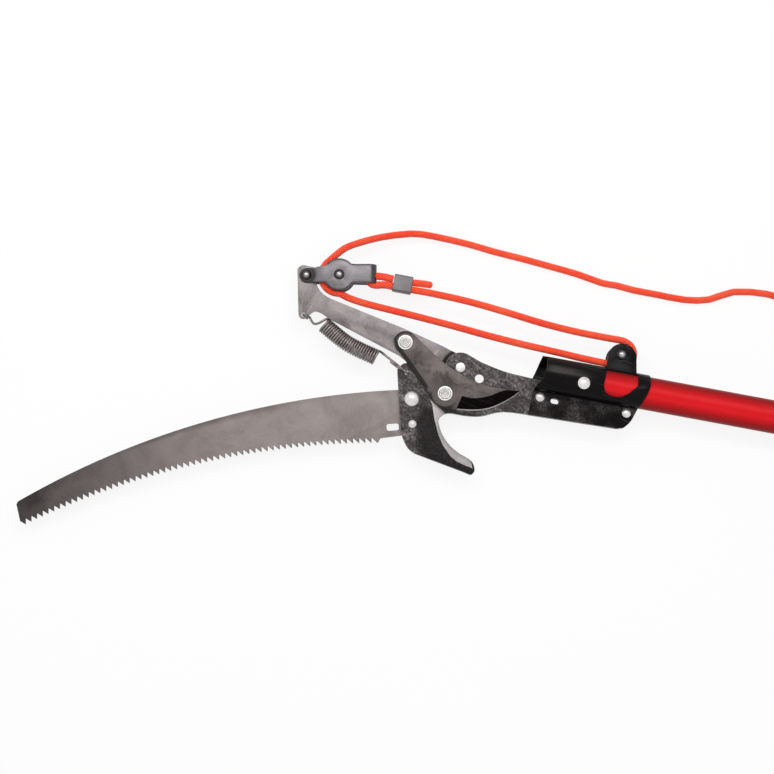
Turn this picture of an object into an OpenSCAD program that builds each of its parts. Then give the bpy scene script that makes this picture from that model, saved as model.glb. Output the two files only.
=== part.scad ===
// Telescoping pole saw: curved pull saw and rope-driven bypass pruner on a two-section pole.
// Millimetres. X runs along the pole from the head to the butt, Y is the side over which the lever swings,
// and Z is square to the steel plates. The origin is the centre of the butt cap's end face.
// Modules are drawn in head coordinates (X = 0 at the cutter's pivot) and moved there by placed().

/* [Pole] */
// Outside diameter of the inner pole
inner_d = 30; // [28:0.5:32]
// Wall of the inner pole
inner_wall = 1.8; // [1.2:0.1:2.4]
// Gap between the closed inner pole and the butt cap
end_gap = 11; // [5:1:40]
// Wall of the outer pole
outer_wall = 2; // [1.4:0.1:2.6]
// Radial gap between the two poles
pole_gap = 0.6; // [0.4:0.1:1]
// Bare inner pole between the socket and the lock collar when the pole is closed
bare_len = 151; // [130:1:260]
// Length of the outer pole
outer_len = 1463; // [1100:1:1500]
// Length of the foam grip
grip_len = 320; // [150:5:500]
// Thickness of the foam grip
grip_wall = 2.4; // [2:0.1:5]
// Length of the butt cap outside the pole
cap_len = 22; // [18:1:30]
// Step from the grip down to the butt cap
cap_step = 0.5; // [0.3:0.1:2]
// Length of the cap's plug inside the pole
cap_plug_len = 22; // [12:1:30]
// Diameter of the hanging hole through the butt cap
hang_d = 7; // [5:0.5:9]
// Length of the guide plug in the end of the inner pole
plug_len = 24; // [16:1:40]
// Length of the guide plug's rim outside the inner pole
plug_rim = 5; // [3:0.5:8]

/* [Lock collar] */
// Outside diameter of the collar
collar_d = 42; // [41:0.5:46]
// Length of the collar
collar_len = 70; // [60:1:90]
// Length of the collar's neck, ahead of the outer pole
neck_len = 15; // [10:1:20]
// Width of the collar's slit
slit_w = 3; // [2:0.5:4]
// Length of the collar's slit
slit_len = 45; // [40:1:60]
// Height of the clamping bolt above the pole axis
clamp_h = 27; // [26:0.5:30]
// Diameter of the clamping bolt
clamp_bolt_d = 6; // [5:0.5:7]
// Height of the clamping bolt's hexagon head
clamp_head_h = 4; // [3:0.5:6]
// Thickness of each clamping ear
clamp_ear_t = 8; // [6:0.5:10]
// Length of the clamping ears along the pole
clamp_ear_len = 26; // [20:1:30]
// Height of the clamping ears above the clamping bolt
clamp_ear_top = 7; // [5:0.5:9]
// Diameter of the pin through the lock lever
lock_pin_d = 5; // [4:0.5:6]
// Radius of the cam on the lock lever
cam_r = 6.7; // [6.2:0.1:7.2]
// Width of the lock lever
lock_w = 13; // [12:0.5:14]
// Length of the lock lever from its pin
lock_len = 62; // [45:1:75]
// Opening angle of the lock lever
lock_open = 100; // [60:5:110]

/* [Head plate] */
// Thickness of the hook and frame plate
plate_t = 4; // [3:0.2:4.4]
// Radius of the plate's round nose about the lever's pivot
nose_r = 13.6; // [12:0.2:14]
// Diameter of the big saw bolt's head
saw_bolt_head_d = 14; // [12:0.5:15]
// Diameter of the big saw bolt
saw_bolt_d = 8; // [6:0.5:9]
// Diameter of the small saw screw's head
saw_screw_head_d = 7.6; // [7:0.2:8.4]
// Diameter of the small saw screw
saw_screw_d = 5; // [4:0.5:5.5]
// Diameter of the spare through hole in the plate
spare_hole_d = 8; // [6:0.5:9]
// Height of the big saw bolt's head
saw_bolt_head_h = 3.4; // [2.5:0.1:4.5]
// Height of the small saw screw's head
saw_screw_head_h = 1.8; // [1.4:0.1:2.4]
// Width across the flats of the big nuts
big_nut_w = 13; // [12:0.5:14]
// Height of the big nuts
big_nut_h = 6; // [5:0.5:7]
// Width across the flats of the small nuts
small_nut_w = 8; // [7:0.5:9]
// Height of the small nuts
small_nut_h = 4; // [3:0.2:5]
// Length of thread that stands out of a nut
thread_out = 0.8; // [0.4:0.1:1.4]

/* [Saw] */
// Thickness of the saw blade
saw_t = 1.6; // [1.2:0.1:2]
// Number of teeth
teeth = 60; // [54:1:70]
// Depth of a tooth
tooth_h = 4.9; // [3:0.1:6]
// Share of a tooth's pitch taken by its steep side
tooth_lead = 0.2; // [0.05:0.05:0.3]

/* [Cutter and lever] */
// Thickness of the cutter blade
cutter_t = 3.2; // [2.6:0.1:3.6]
// Thickness of the lever
lever_t = 3.2; // [2.6:0.1:3.4]
// Gap between plates that slide past each other
plate_gap = 0.3; // [0.2:0.05:0.4]
// Diameter of the cutter's pivot bolt
pivot_d = 8; // [6:0.5:9]
// Diameter of the pivot bolt's head
pivot_head_d = 13.5; // [12:0.5:14]
// Diameter of the pin in the cutter's tail
tail_pin_d = 5; // [4:0.2:5.4]
// Width of the tail pin's rim behind the lever
tail_rim = 2; // [1.5:0.1:2.5]
// Diameter of the tail pin's front head
tail_head_d = 13.5; // [11:0.5:14]
// Diameter of the lever's rivet
lever_rivet_d = 8.4; // [7:0.2:9]
// Diameter of the rivet's head behind the lever's hub
rivet_back_d = 14; // [12:0.5:16]
// Thickness of the washer-like rim under the two flat-domed heads
head_rim_t = 1.2; // [0.8:0.1:1.6]
// Width of the step between such a rim and its dome
head_step = 1.4; // [1:0.1:2]
// Angle through which the cutter closes
cutter_swing = 70; // [60:1:70]
// Angle through which the lever swings to close the cutter
lever_swing = 102; // [90:1:102]
// Radius of the lever's hub behind the plate
hub_r = 11; // [9:0.5:12]
// Radial clearance of turning pins
pin_gap = 0.06; // [0.03:0.01:0.1]

/* [Block] */
// Thickness of the block's strap
strap_t = 1.6; // [1.2:0.1:2]
// Gap between the cheeks of the block
cheek_gap = 10; // [9:0.2:11]
// Radius of the cheeks
cheek_r = 14.8; // [14:0.1:16]
// Distance from the block's pin to its axle
axle_x = 29.9; // [29:0.1:33]
// Length of the strap from the block's pin
strap_len = 63.8; // [60:0.2:70]
// Width of the strap's arm
strap_w = 17.4; // [14:0.2:18]
// Diameter of the block's pin
block_pin_d = 5.2; // [4:0.2:6]
// Diameter of the block's axle
block_axle_d = 5; // [4:0.2:6]
// Radius of the rope's centre line on the block sheave
block_rope_r = 16.4; // [16:0.1:17]
// Width of the block sheave
block_sheave_w = 9.2; // [8:0.2:9.4]
// Height of the block sheave's rims above the bottom of its groove
block_rim = 1.4; // [1:0.1:2]
// Diameter of the domed heads of the block's pin, its axle and the guide pulley's rivet
rivet_head_d = 9.6; // [8:0.2:10]
// Height of those domed heads
rivet_head_h = 2.6; // [1.8:0.1:3]

/* [Socket] */
// Wall of the pressed socket halves
shell_t = 1.6; // [1.2:0.1:1.6]
// Gap between the ears that carry the guide pulley
ear_gap = 12.4; // [12:0.2:13.4]
// Radius of the ears
ear_r = 12.9; // [12:0.1:13.5]
// Diameter of the guide pulley's rivet
guide_pin_d = 6; // [5:0.5:7]
// Radius of the rope's centre line in the guide pulley's groove
guide_rope_r = 9.4; // [9.2:0.1:9.6]
// Width of the guide pulley
guide_w = 11; // [9:0.2:11.4]
// Height of the guide pulley's rims above the bottom of its groove
guide_rim = 2.6; // [2:0.1:3]
// Diameter of the socket's screws
socket_screw_d = 4.5; // [4:0.5:5]
// Diameter of the heads of the socket's flange screws
socket_head_d = 8.6; // [7.6:0.2:8.6]
// Diameter of the screw through the pole
pole_screw_d = 5; // [4:0.5:6]
// Diameter of the head of the screw through the pole
pole_head_d = 11.2; // [9:0.2:12]
// Height of the heads of the socket's screws
socket_head_h = 2.3; // [1.8:0.1:2.8]

/* [Spring] */
// Outside diameter of the return spring
spring_d = 15; // [12:0.5:15.5]
// Wire of the return spring
spring_wire = 2; // [1.6:0.1:2.2]

/* [Rope] */
// Diameter of the rope
rope_d = 6.4; // [5.6:0.1:6.4]
// Turns across the wound coil and turns on top of each other
coil_rows = 4; // [3:1:5]
// Mean diameter of the wound coil
coil_d = 80; // [76:1:96]
// Thickness of the strap that ties the coil
tie_t = 1.2; // [0.8:0.1:1.6]
// Width of the strap that ties the coil
tie_w = 16; // [10:1:25]
// Diameter of the pull handle
handle_d = 22; // [18:1:26]
// Length of the pull handle
handle_len = 84; // [70:1:110]
// Width of the step round each end of the pull handle
handle_rim = 4; // [2:0.5:6]

/* [Hidden] */
$fn = 64;

// Pole radii and stations along X
inner_r = inner_d / 2;
outer_in_r = inner_r + pole_gap;
outer_r = outer_in_r + outer_wall;
collar_r = collar_d / 2;
grip_r = outer_r + grip_wall;
cap_r = grip_r - cap_step;
pole_x = 95;
shell_end_x = 179;
collar_x = shell_end_x + bare_len;
outer_x = collar_x + neck_len;
outer_end_x = outer_x + outer_len;
butt_x = outer_end_x + cap_len;
inner_end_x = outer_end_x - cap_plug_len - end_gap - plug_rim;
slide_gap = 0.35;
floor_z = -max(collar_r, grip_r);

// Places in the head, in XY
O1 = [0, -34];
C1 = [9.5, -7.7];
TAIL = [-43.4, 5];
LEVER_END = [-142.9, 49.4];
SPRING_HOLE = [-138.7, 13.8];
SPRING_EYE = [-37.4, -21];
SAW_BOLT = [-28.4, -43.6];
SAW_SCREW = [-23.7, -66];
SPARE = [28, -14.6];
GUIDE = [149.6, 29.4];
EAR = [150.4, 26.6];
FLANGE_SCREWS = [[84.5, -21.4], [163, -21.4]];
POLE_SCREW = [119.8, -3.4];
SHELL_SLOT = [98, -22.6];
shell_slot_w = 4.8;

// Levels along Z
plate_z = plate_t / 2;
cutter_z = plate_z + plate_gap;
cutter_top = cutter_z + cutter_t;
hub_z = -plate_z - plate_gap - lever_t;
saw_z = -plate_z - saw_t;
cheek_z = cheek_gap / 2;
cheek_out = cheek_z + strap_t;
ear_z = ear_gap / 2;
tail_slot_gap = 0.1;

// Longer than anything that a hole or a cut goes through
reach = 60;

// The block lies at this angle to the pole; the ferrule and its loop lie along the pole
block_tilt = 10.6;
FERRULE = [-55.5, 57.6];
ferrule_size = [17, 16, 9.6];
ferrule_r = 8.4;

// Rope route in the tackle: ferrule, guide pulley, block sheave
TACKLE_UP = [[-47, 54.2], [-27, 54.3], [6, 53], [40, 49.8], [73, 45.9], [103, 43.8], [130, 43.3]];
GUIDE_TURN = [[143.2, 43.4], [151, 43], [157.6, 39.6], [160.9, 33.4], [160.6, 27], [156.8, 22], [149.8, 20]];
TACKLE_DOWN = [[118, 20.7], [94, 22], [61, 23.4], [28, 25.6], [-6, 28.6], [-39, 31], [-65, 32.6],
    [-85, 34], [-100, 36]];
// Rope route from the block sheave to the wound coil: x, y and height above the floor
FREE_ROUTE = [[-114, 80.6, 19.5], [-101, 89.4, 17], [-84, 98.2, 13.5], [-57, 107.8, 9],
    [-36, 109.8, 6], [-3, 108.9, 3.7], [20, 106.5, 3.2], [47, 104.7, 3.2], [73, 102.4, 3.2],
    [100, 99.8, 3.2], [124, 95.8, 3.2], [137, 96, 3.2], [153, 94.6, 3.2], [174, 94.5, 3.2],
    [201, 94.4, 3.2], [223, 98.8, 3.2], [244, 110, 3.2], [275, 113.6, 3.2], [300, 109.5, 3.4], [325, 104.6, 4]];
COIL = [370, 152];
// Rope route from the coil to the pull handle: x, y and height above the floor
TAIL_ROUTE = [[385, 98.4, 23], [402, 97, 18], [420, 96, 12.5], [438, 95, 10.4], [452, 94, 10.6]];
HANDLE = [473, 94];

coil_pitch = rope_d + 0.1;
tie_gap = 0.2;
coil_w = coil_rows * coil_pitch;
coil_z = floor_z + tie_t;

// ---- Functions ----

// Points on an arc from a to b that stands sag to the left of the chord
function bow(a, b, sag, n = 8) =
    let (d = b - a, c = norm(d), u = d / c, v = [-u[1], u[0]])
    let (h = 2 * atan(2 * sag / c), r = c / (2 * sin(h)))
    [for (i = [0:n]) let (g = h * (2 * i / n - 1))
        a + u * (c / 2 + r * sin(g)) + v * (r * cos(g) - r * cos(h))];

// Points on a circle from angle a0 to a1
function arc(c, r, a0, a1, n = 12) =
    [for (i = [0:n]) let (a = a0 + (a1 - a0) * i / n) c + r * [cos(a), sin(a)]];

// One point of a smooth curve through the list p, between p[i] and p[i + 1]
function knot(p, i) = p[max(0, min(len(p) - 1, i))];
function between(p, i, t) =
    0.5 * (2 * knot(p, i) + (knot(p, i + 1) - knot(p, i - 1)) * t
        + (2 * knot(p, i - 1) - 5 * knot(p, i) + 4 * knot(p, i + 1) - knot(p, i + 2)) * t * t
        + (3 * knot(p, i) - knot(p, i - 1) - 3 * knot(p, i + 1) + knot(p, i + 2)) * t * t * t);

// A smooth curve through the list p, with n points for each stretch
function smooth(p, n = 4) =
    concat([for (i = [0:len(p) - 2]) for (k = [0:n - 1]) between(p, i, k / n)], [p[len(p) - 1]]);

// A vector turned by an angle in XY
function turn(v, a) = [v[0] * cos(a) - v[1] * sin(a), v[0] * sin(a) + v[1] * cos(a)];

// XY points lifted to one height
function lift(p, z) = [for (q = p) [q[0], q[1], z]];

// Route points whose third value is a height above the floor
function on_floor(p) = [for (q = p) [q[0], q[1], floor_z + q[2]]];

// Where the tail pin stands, in the lever's own frame, when the cutter has closed by angle a
function slot_at(a) = C1 + turn(O1 + turn(TAIL - O1, -a) - C1, a * lever_swing / cutter_swing);

function unit(v) = v / norm(v);
function edge_of(p, i) = unit(knot(p, i + 1) - knot(p, i - 1));

// ---- Shared shapes ----

module placed() translate([-butt_x, 0, 0]) children();

module at(p, z = 0) translate([p[0], p[1], z]) children();

// A solid with a flat outline between two heights
module plate(points, z0, t) translate([0, 0, z0]) linear_extrude(t) polygon(points);

// A hole along Z, and a cut with a flat outline
module bore(d) cylinder(h = 2 * reach, d = d, center = true);
module cut(points) plate(points, -reach, 2 * reach);

// A round bar along X
module bar_x(x0, x1, r) translate([x0, 0, 0]) rotate([0, 90, 0]) cylinder(h = x1 - x0, r = r);

// A low domed head on a flat face at z0, standing up by h
module dome(r, h, z0) {
    ball_r = (r * r + h * h) / (2 * h);
    translate([0, 0, z0]) rotate_extrude()
        polygon(concat([[0, 0], [r, 0]], [for (i = [1:8]) let (a = asin(r / ball_r) * (1 - i / 8))
            [ball_r * sin(a), ball_r * cos(a) - ball_r + h]]));
}

// A flat rim with a low dome on it, on a flat face at z0
module stepped_head(d, z0) {
    shank(d, z0, z0 + head_rim_t);
    dome(d / 2 - head_step, head_rim_t + 0.6, z0 + head_rim_t);
}

// Domed rivet heads at heights z and -z
module rivet_heads(z) for (side = [0, 1]) mirror([0, 0, side]) dome(rivet_head_d / 2, rivet_head_h, z);

// A round shank between two heights
module shank(d, z0, z1) translate([0, 0, z0]) cylinder(h = z1 - z0, d = d);

// A slot with round ends about two points
module long_hole(ends, w) {
    d = ends[1] - ends[0];
    for (p = ends) at(p) bore(w);
    at((ends[0] + ends[1]) / 2) rotate(atan2(d[1], d[0])) cube([norm(d), w, 2 * reach], center = true);
}

// A through hole with rounded corners of radius r
module window(size, r) {
    for (x = [-1, 1], y = [-1, 1]) translate([x * (size[0] / 2 - r), y * (size[1] / 2 - r), 0]) bore(2 * r);
    cube([size[0] - 2 * r, size[1], 2 * reach], center = true);
    cube([size[0], size[1] - 2 * r, 2 * reach], center = true);
}

// A hexagon nut with a bore, standing from z0 down by h
module nut(across, bore_d, h, z0) translate([0, 0, z0 - h]) difference() {
    cylinder(h = h, d = across / cos(30), $fn = 6);
    bore(bore_d);
}

// A round rope along 3-D points that never run upright
module rope_tube(path, sides = 8) {
    n = len(path);
    rings = [for (i = [0:n - 1])
        let (t = edge_of(path, i), s = unit(cross(t, [0, 0, 1])), u = cross(s, t))
        for (k = [0:sides - 1]) let (a = 360 * k / sides) path[i] + rope_d / 2 * (cos(a) * s + sin(a) * u)];
    walls = [for (i = [0:n - 2]) for (k = [0:sides - 1])
        let (a = i * sides, b = a + sides, m = (k + 1) % sides) [a + m, b + m, b + k, a + k]];
    start = [for (k = [sides - 1:-1:0]) k];
    end = [for (k = [0:sides - 1]) (n - 1) * sides + k];
    polyhedron(points = rings, faces = concat(walls, [start, end]), convexity = 6);
}

// A grooved wheel about Z
module sheave(rope_r, w, bore_r, flange) {
    groove = rope_d / 2 + 0.2;
    rotate_extrude() difference() {
        translate([bore_r, -w / 2]) square([rope_r - rope_d / 2 + flange - bore_r, w]);
        translate([rope_r, 0]) circle(r = groove);
    }
}

// ---- Head plate and saw ----

function plate_outline() = concat(
    // left side of the hook, from the hump at the spring's eye down
    smooth([[-37.5, -12.6], [-42, -14], [-46.2, -20]]),
    smooth([[-33.3, -73], [-30.2, -79.8], [-24, -88], [-16.4, -92]]),
    // back and round tip of the hook
    smooth([[29.4, -100.2], [35.7, -101.3], [38.3, -98.2], [38, -94.8], [36.2, -91.2], [33.3, -88.4],
        [29.1, -86.5]]),
    // throat
    smooth([[22.7, -84.4], [14.6, -80], [8.2, -74.6], [3.2, -68.6], [-0.2, -62], [-1.3, -58.4], [0.3, -54.4],
        [5, -51], [10.9, -50.2]]),
    // lower edge, to the tail between the socket's flanges
    smooth([[20, -50.2], [34.9, -48.1], [54.5, -40.3], [84, -38.6]]),
    [[158, -36.5], [163, -30], [163, -inner_r - 0.6], [90, -inner_r - 0.6], [88, -6.4]],
    // upper edge and nose
    smooth([[76, -5.8], [49.6, -4.2], [27, 0.4]]),
    arc(C1, nose_r, 66, 215, 14),
    [[-8, -20], [-16, -22.5], [-27, -22], [-33, -17]]);

module hook_frame() color([0.16, 0.16, 0.17]) placed() difference() {
    plate(plate_outline(), -plate_z, plate_t);
    at(O1) bore(pivot_d);
    at(C1) bore(lever_rivet_d);
    at(SPARE) bore(spare_hole_d);
    at(SAW_BOLT) bore(saw_bolt_d);
    at(SAW_SCREW) bore(saw_screw_d);
    at(SPRING_EYE) bore(2 * spring_wire);
    for (p = FLANGE_SCREWS) at(p) bore(socket_screw_d);
    shell_slot();
}

// Spine, tip and toothed edge of the saw
SPINE_START = [-40, -37.2];
SPINE_END = [-357.6, -198.8];
spine_sag = -21.8;
TOOTH_START = [-50.2, -88];
TOOTH_END = [-350, -220.2];
tooth_sag = -18.2;
SAW_SLOT = [-40.7, -71.7];
saw_slot = [11, 6.2];
saw_slot_turn = 14.5;
saw_slot_r = 1.9;
function tooth_line(t) =
    let (d = TOOTH_END - TOOTH_START, c = norm(d), u = d / c, v = [-u[1], u[0]])
    let (h = 2 * atan(2 * tooth_sag / c), r = c / (2 * sin(h)), g = h * (2 * t - 1))
    [TOOTH_START + u * (c / 2 + r * sin(g)) + v * (r * cos(g) - r * cos(h)), u * sin(g) - v * cos(g)];

// The tip of tooth i and the gullet on its far side, counted from the handle's end
function tooth_tip(i) = tooth_line((i + tooth_lead) / teeth)[0];
function tooth_gullet(i) = tooth_line((i + 1) / teeth)[0] + tooth_h * [-0.4, 0.92];

function saw_outline() = concat(
    [[-14, -34]],
    bow(SPINE_START, SPINE_END, spine_sag, 28),
    [[-358.4, -201.6], [-352, -215.6], tooth_tip(teeth - 1)],
    [for (i = [teeth - 2:-1:0]) each [tooth_gullet(i), tooth_tip(i)]],
    [[-49.6, -83.6], [-31, -77.6], [-14, -72]]);

module saw_blade() color([0.5, 0.48, 0.46]) placed() difference() {
    plate(saw_outline(), saw_z, saw_t);
    at(SAW_BOLT) bore(saw_bolt_d);
    at(SAW_SCREW) bore(saw_screw_d);
    at(SAW_SLOT) rotate(saw_slot_turn) window(saw_slot, saw_slot_r);
}

module saw_bolt() color([0.82, 0.81, 0.8]) placed() at(SAW_BOLT) {
    dome(saw_bolt_head_d / 2, saw_bolt_head_h, plate_z);
    shank(saw_bolt_d, saw_z - big_nut_h - thread_out, plate_z);
}

module saw_bolt_nut() color([0.7, 0.7, 0.7]) placed() at(SAW_BOLT)
    nut(big_nut_w, saw_bolt_d, big_nut_h, saw_z);

module saw_screw() color([0.82, 0.81, 0.8]) placed() at(SAW_SCREW) {
    dome(saw_screw_head_d / 2, saw_screw_head_h, plate_z);
    shank(saw_screw_d, saw_z - small_nut_h - thread_out, plate_z);
}

module saw_screw_nut() color([0.7, 0.7, 0.7]) placed() at(SAW_SCREW)
    nut(small_nut_w, saw_screw_d, small_nut_h, saw_z);

// ---- Pruner ----

module pivot_bolt() color([0.82, 0.81, 0.8]) placed() at(O1) {
    z = cutter_top + plate_gap;
    stepped_head(pivot_head_d, z);
    shank(pivot_d, -plate_z - big_nut_h - thread_out, z);
}

module pivot_nut() color([0.7, 0.7, 0.7]) placed() at(O1) nut(big_nut_w, pivot_d, big_nut_h, -plate_z);

module lever_rivet() color([0.78, 0.77, 0.75]) placed() at(C1) {
    shank(lever_rivet_d, hub_z - plate_gap, plate_z);
    mirror([0, 0, 1]) dome(rivet_back_d / 2, rivet_head_h, plate_gap - hub_z);
}

function cutter_outline() = concat(
    // tail, round about its pin, then the left edge down to the pivot
    arc(TAIL, 10.4, 62, 175, 8),
    smooth([[-51, -0.5], [-44, -7.5], [-31, -20.6], [-20, -30], [-14.5, -37], [-9.5, -43], [-3.9, -46.2],
        [4, -47.6], [12.2, -46.5], [26.8, -44.7], [40.1, -40.8], [51, -34.1], [60.7, -25.8],
        [66.2, -19.4]], 3),
    // back of the blade
    smooth([[64, -19.2], [54, -20.1], [36.2, -20.3], [21.8, -17.6], [10, -13.8], [-4.2, -7.6], [-16.7, -0.4],
        [-29, 7.8], [-36, 12.8]], 3));

module cutter_blade() color([0.38, 0.37, 0.37]) placed() difference() {
    plate(cutter_outline(), cutter_z, cutter_t);
    at(O1) bore(pivot_d + 2 * pin_gap);
    at(TAIL) bore(tail_pin_d);
}

module tail_pin() color([0.82, 0.81, 0.8]) placed() at(TAIL) {
    back_z = -lever_t / 2 - plate_gap;
    stepped_head(tail_head_d, cutter_top);
    shank(tail_pin_d, back_z, cutter_top);
    shank(tail_pin_d + 2 * tail_rim, back_z - strap_t, back_z);
}

function lever_outline() = concat(
    // head, from its top round the left side to the spring's hole
    arc([-145.8, 52.2], 6.2, 80, 170, 5),
    arc([-138.9, 14.2], 4.4, 190, 300, 6),
    smooth([[-134.2, 12.8], [-132.3, 15.9], [-128.6, 18.7], [-122.5, 17.7], [-116, 14.5]]),
    // lower edge, to the hub
    [[-47.4, -7], [-36, -13], [-20, -17.5], [-7, -18]],
    arc(C1, hub_r, 245, 432, 14),
    // upper edge
    [[-6.6, 7.6], [-36, 15], [-45, 17.3]],
    smooth([[-117.5, 32.5], [-124.9, 35.6], [-130.4, 40.6], [-134.4, 48], [-137.2, 58]]));

// Heights of the lever's two levels along a line from its pivot, with the joggle between them
joggle_near = 15.5;
joggle_far = 24;
function lever_profile() = [
    [-reach, hub_z], [joggle_near, hub_z], [joggle_far, -lever_t / 2], [4 * reach, -lever_t / 2],
    [4 * reach, lever_t / 2], [joggle_far, lever_t / 2], [joggle_near, hub_z + lever_t],
    [-reach, hub_z + lever_t]];

function slot_side(side) = [for (i = [-1:24]) let (a = cutter_swing * i / 24)
    slot_at(a) + side * (tail_pin_d / 2 + tail_slot_gap)
        * turn(unit(slot_at(a + 0.5) - slot_at(a - 0.5)), 90)];

module cam_slot() {
    r = tail_pin_d / 2 + tail_slot_gap;
    left = slot_side(1);
    right = slot_side(-1);
    cut(concat(left, [for (i = [len(right) - 1:-1:0]) right[i]]));
    at(slot_at(0)) bore(2 * r);
    at(slot_at(cutter_swing)) bore(2 * r);
}

module lever_arm() color([0.56, 0.54, 0.52]) placed() difference() {
    intersection() {
        cut(lever_outline());
        at(C1) rotate(atan2(LEVER_END[1] - C1[1], LEVER_END[0] - C1[0])) rotate([90, 0, 0])
            cut(lever_profile());
    }
    at(C1) bore(lever_rivet_d + 2 * pin_gap);
    at(LEVER_END) bore(block_pin_d + 2 * pin_gap);
    at(SPRING_HOLE) bore(2 * spring_wire);
    cam_slot();
}

// Ends of the spring's close-wound body
SPRING_A = [-119.6, 7];
SPRING_B = [-66.5, -14];
spring_lay = -lever_t / 2 - spring_wire / 2 - 0.1;
module wire(a, b) {
    d = b - a;
    translate(a) rotate([0, acos(d[2] / norm(d)), atan2(d[1], d[0])])
        cylinder(h = norm(d), d = spring_wire, $fn = 16);
}
module return_spring() color([0.33, 0.32, 0.31]) placed() {
    d = SPRING_B - SPRING_A;
    hook_z = lever_t / 2 + spring_wire / 2 + 0.2;
    eye_z = plate_z + spring_wire / 2 + 0.1;
    difference() {
        at(SPRING_A) rotate([0, 90, atan2(d[1], d[0])]) cylinder(h = norm(d), d = spring_d);
        at(SPRING_A) rotate([0, 90, atan2(d[1], d[0])]) translate([0, 0, 2 * spring_wire])
            cylinder(h = norm(d) - 4 * spring_wire, d = spring_d - 2 * spring_wire);
    }
    wire([SPRING_HOLE[0], SPRING_HOLE[1], hook_z], [SPRING_A[0], SPRING_A[1], hook_z]);
    wire([SPRING_HOLE[0], SPRING_HOLE[1], spring_lay - 1], [SPRING_HOLE[0], SPRING_HOLE[1], hook_z + 0.5]);
    wire([SPRING_B[0], SPRING_B[1], eye_z], [SPRING_EYE[0], SPRING_EYE[1], eye_z]);
    wire([SPRING_EYE[0], SPRING_EYE[1], -plate_z - 2], [SPRING_EYE[0], SPRING_EYE[1], eye_z + 0.5]);
}

// ---- Block: drawn with its pin at the origin and its axle on +X, then set on the lever's end ----

module on_block() placed() at(LEVER_END) rotate(block_tilt) children();

ear_lay = lever_t / 2 + plate_gap;
strap_ear_r = 6.4;
joggle_x0 = 5.6;
joggle_x1 = 10.2;
bend_x = strap_len - cheek_out;
arm_y = 0.9;

// The strap seen from its side: ears, round cheeks and the straight arm
function strap_outline() = concat(
    arc([0, 0], strap_ear_r, 90, 270, 10),
    [[8, -6.6], [17, -7.6]],
    arc([axle_x, 0], cheek_r, 212, 331, 12),
    [[strap_len, arm_y - strap_w / 2], [strap_len, arm_y + strap_w / 2], [axle_x + 14, arm_y + strap_w / 2]],
    arc([axle_x, 0], cheek_r, 42, 146, 10),
    [[17, 8.2], [8, 6.6]]);

// The strap seen from its edge: ears on the lever, joggles, cheeks and the round bend
function strap_edge() = concat(
    [[-9, ear_lay + strap_t], [joggle_x0, ear_lay + strap_t], [joggle_x1, cheek_out]],
    arc([bend_x, 0], cheek_out, 90, -90, 12),
    [[joggle_x1, -cheek_out], [joggle_x0, -ear_lay - strap_t], [-9, -ear_lay - strap_t], [-9, -ear_lay],
        [joggle_x0 + 0.6, -ear_lay], [joggle_x1 + 0.6, -cheek_z]],
    arc([bend_x, 0], cheek_z, -90, 90, 12),
    [[joggle_x1 + 0.6, cheek_z], [joggle_x0 + 0.6, ear_lay], [-9, ear_lay]]);

loop_hole_y = -0.8;
loop_gap = 0.3;
module block_strap() color([0.5, 0.52, 0.54]) on_block() difference() {
    intersection() {
        cut(strap_outline());
        rotate([90, 0, 0]) cut(strap_edge());
    }
    bore(block_pin_d);
    at([axle_x, 0]) bore(block_axle_d);
    translate([bend_x, loop_hole_y, 0]) rotate([0, 90, 0]) cylinder(h = reach, d = rope_d + 2 * loop_gap);
}

module block_pin() color([0.3, 0.29, 0.29]) on_block() {
    z = ear_lay + strap_t;
    shank(block_pin_d, -z, z);
    rivet_heads(z);
}

module block_axle() color([0.3, 0.29, 0.29]) on_block() translate([axle_x, 0, 0]) {
    shank(block_axle_d, -cheek_out, cheek_out);
    rivet_heads(cheek_out);
}

module block_sheave() color([0.25, 0.25, 0.26]) on_block() translate([axle_x, 0, 0])
    sheave(block_rope_r, block_sheave_w, block_axle_d / 2 + pin_gap, block_rim);

// The loop goes in through the hole in the strap's end and out at the strap's lower edge
LOOP_IN = [[78.9, -3.2], [71, -1.6], [64.5, loop_hole_y], [60.6, -1.4], [58.2, -3.8], [57.8, -7.4],
    [59.8, -10.5], [63.8, -11.5], [71, -11.1], [78.9, -10]];
module rope_loop() color([0.93, 0.32, 0.17]) on_block() rope_tube(lift(smooth(LOOP_IN, 2), 0), 8);

module rope_ferrule() color([0.55, 0.57, 0.6]) placed() at(FERRULE) difference() {
    intersection() {
        cube(ferrule_size, center = true);
        rotate([0, 90, 0]) cylinder(h = reach, r = ferrule_r, center = true);
    }
    for (y = [-3.4, 3.4]) translate([0, y, 0]) rotate([0, 90, 0]) bore(rope_d);
}

function tackle_path() = concat(
    smooth(TACKLE_UP, 1),
    smooth(GUIDE_TURN, 2),
    smooth(TACKLE_DOWN, 1),
    arc(block_axle_at(), block_rope_r, 282, 140, 8));
function block_axle_at() = LEVER_END + turn([axle_x, 0], block_tilt);

// The working rope, and the rope's short end that stands out of the ferrule
STUB = [[-47, 60.8], [-41, 61.2], [-35, 61.6], [-28.6, 61.6]];
module rope_tackle() color([0.93, 0.32, 0.17]) placed() {
    rope_tube(lift(tackle_path(), 0), 10);
    rope_tube(lift(STUB, 0), 10);
}

function free_path() = concat(lift([block_axle_at() + block_rope_r * [cos(140), sin(140)]], 0),
    on_floor(FREE_ROUTE),
    on_floor([[COIL[0], COIL[1] - coil_d / 2 - coil_w / 2 + rope_d / 2, tie_t + rope_d / 2]]));
module rope_free() color([0.93, 0.32, 0.17]) placed() rope_tube(smooth(free_path(), 2), 8);

module rope_coil() color([0.93, 0.32, 0.17]) placed() at(COIL, coil_z) rotate_extrude()
    translate([coil_d / 2, coil_w / 2]) intersection() {
        square(coil_w, center = true);
        circle(r = 0.62 * coil_w);
    }

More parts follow.
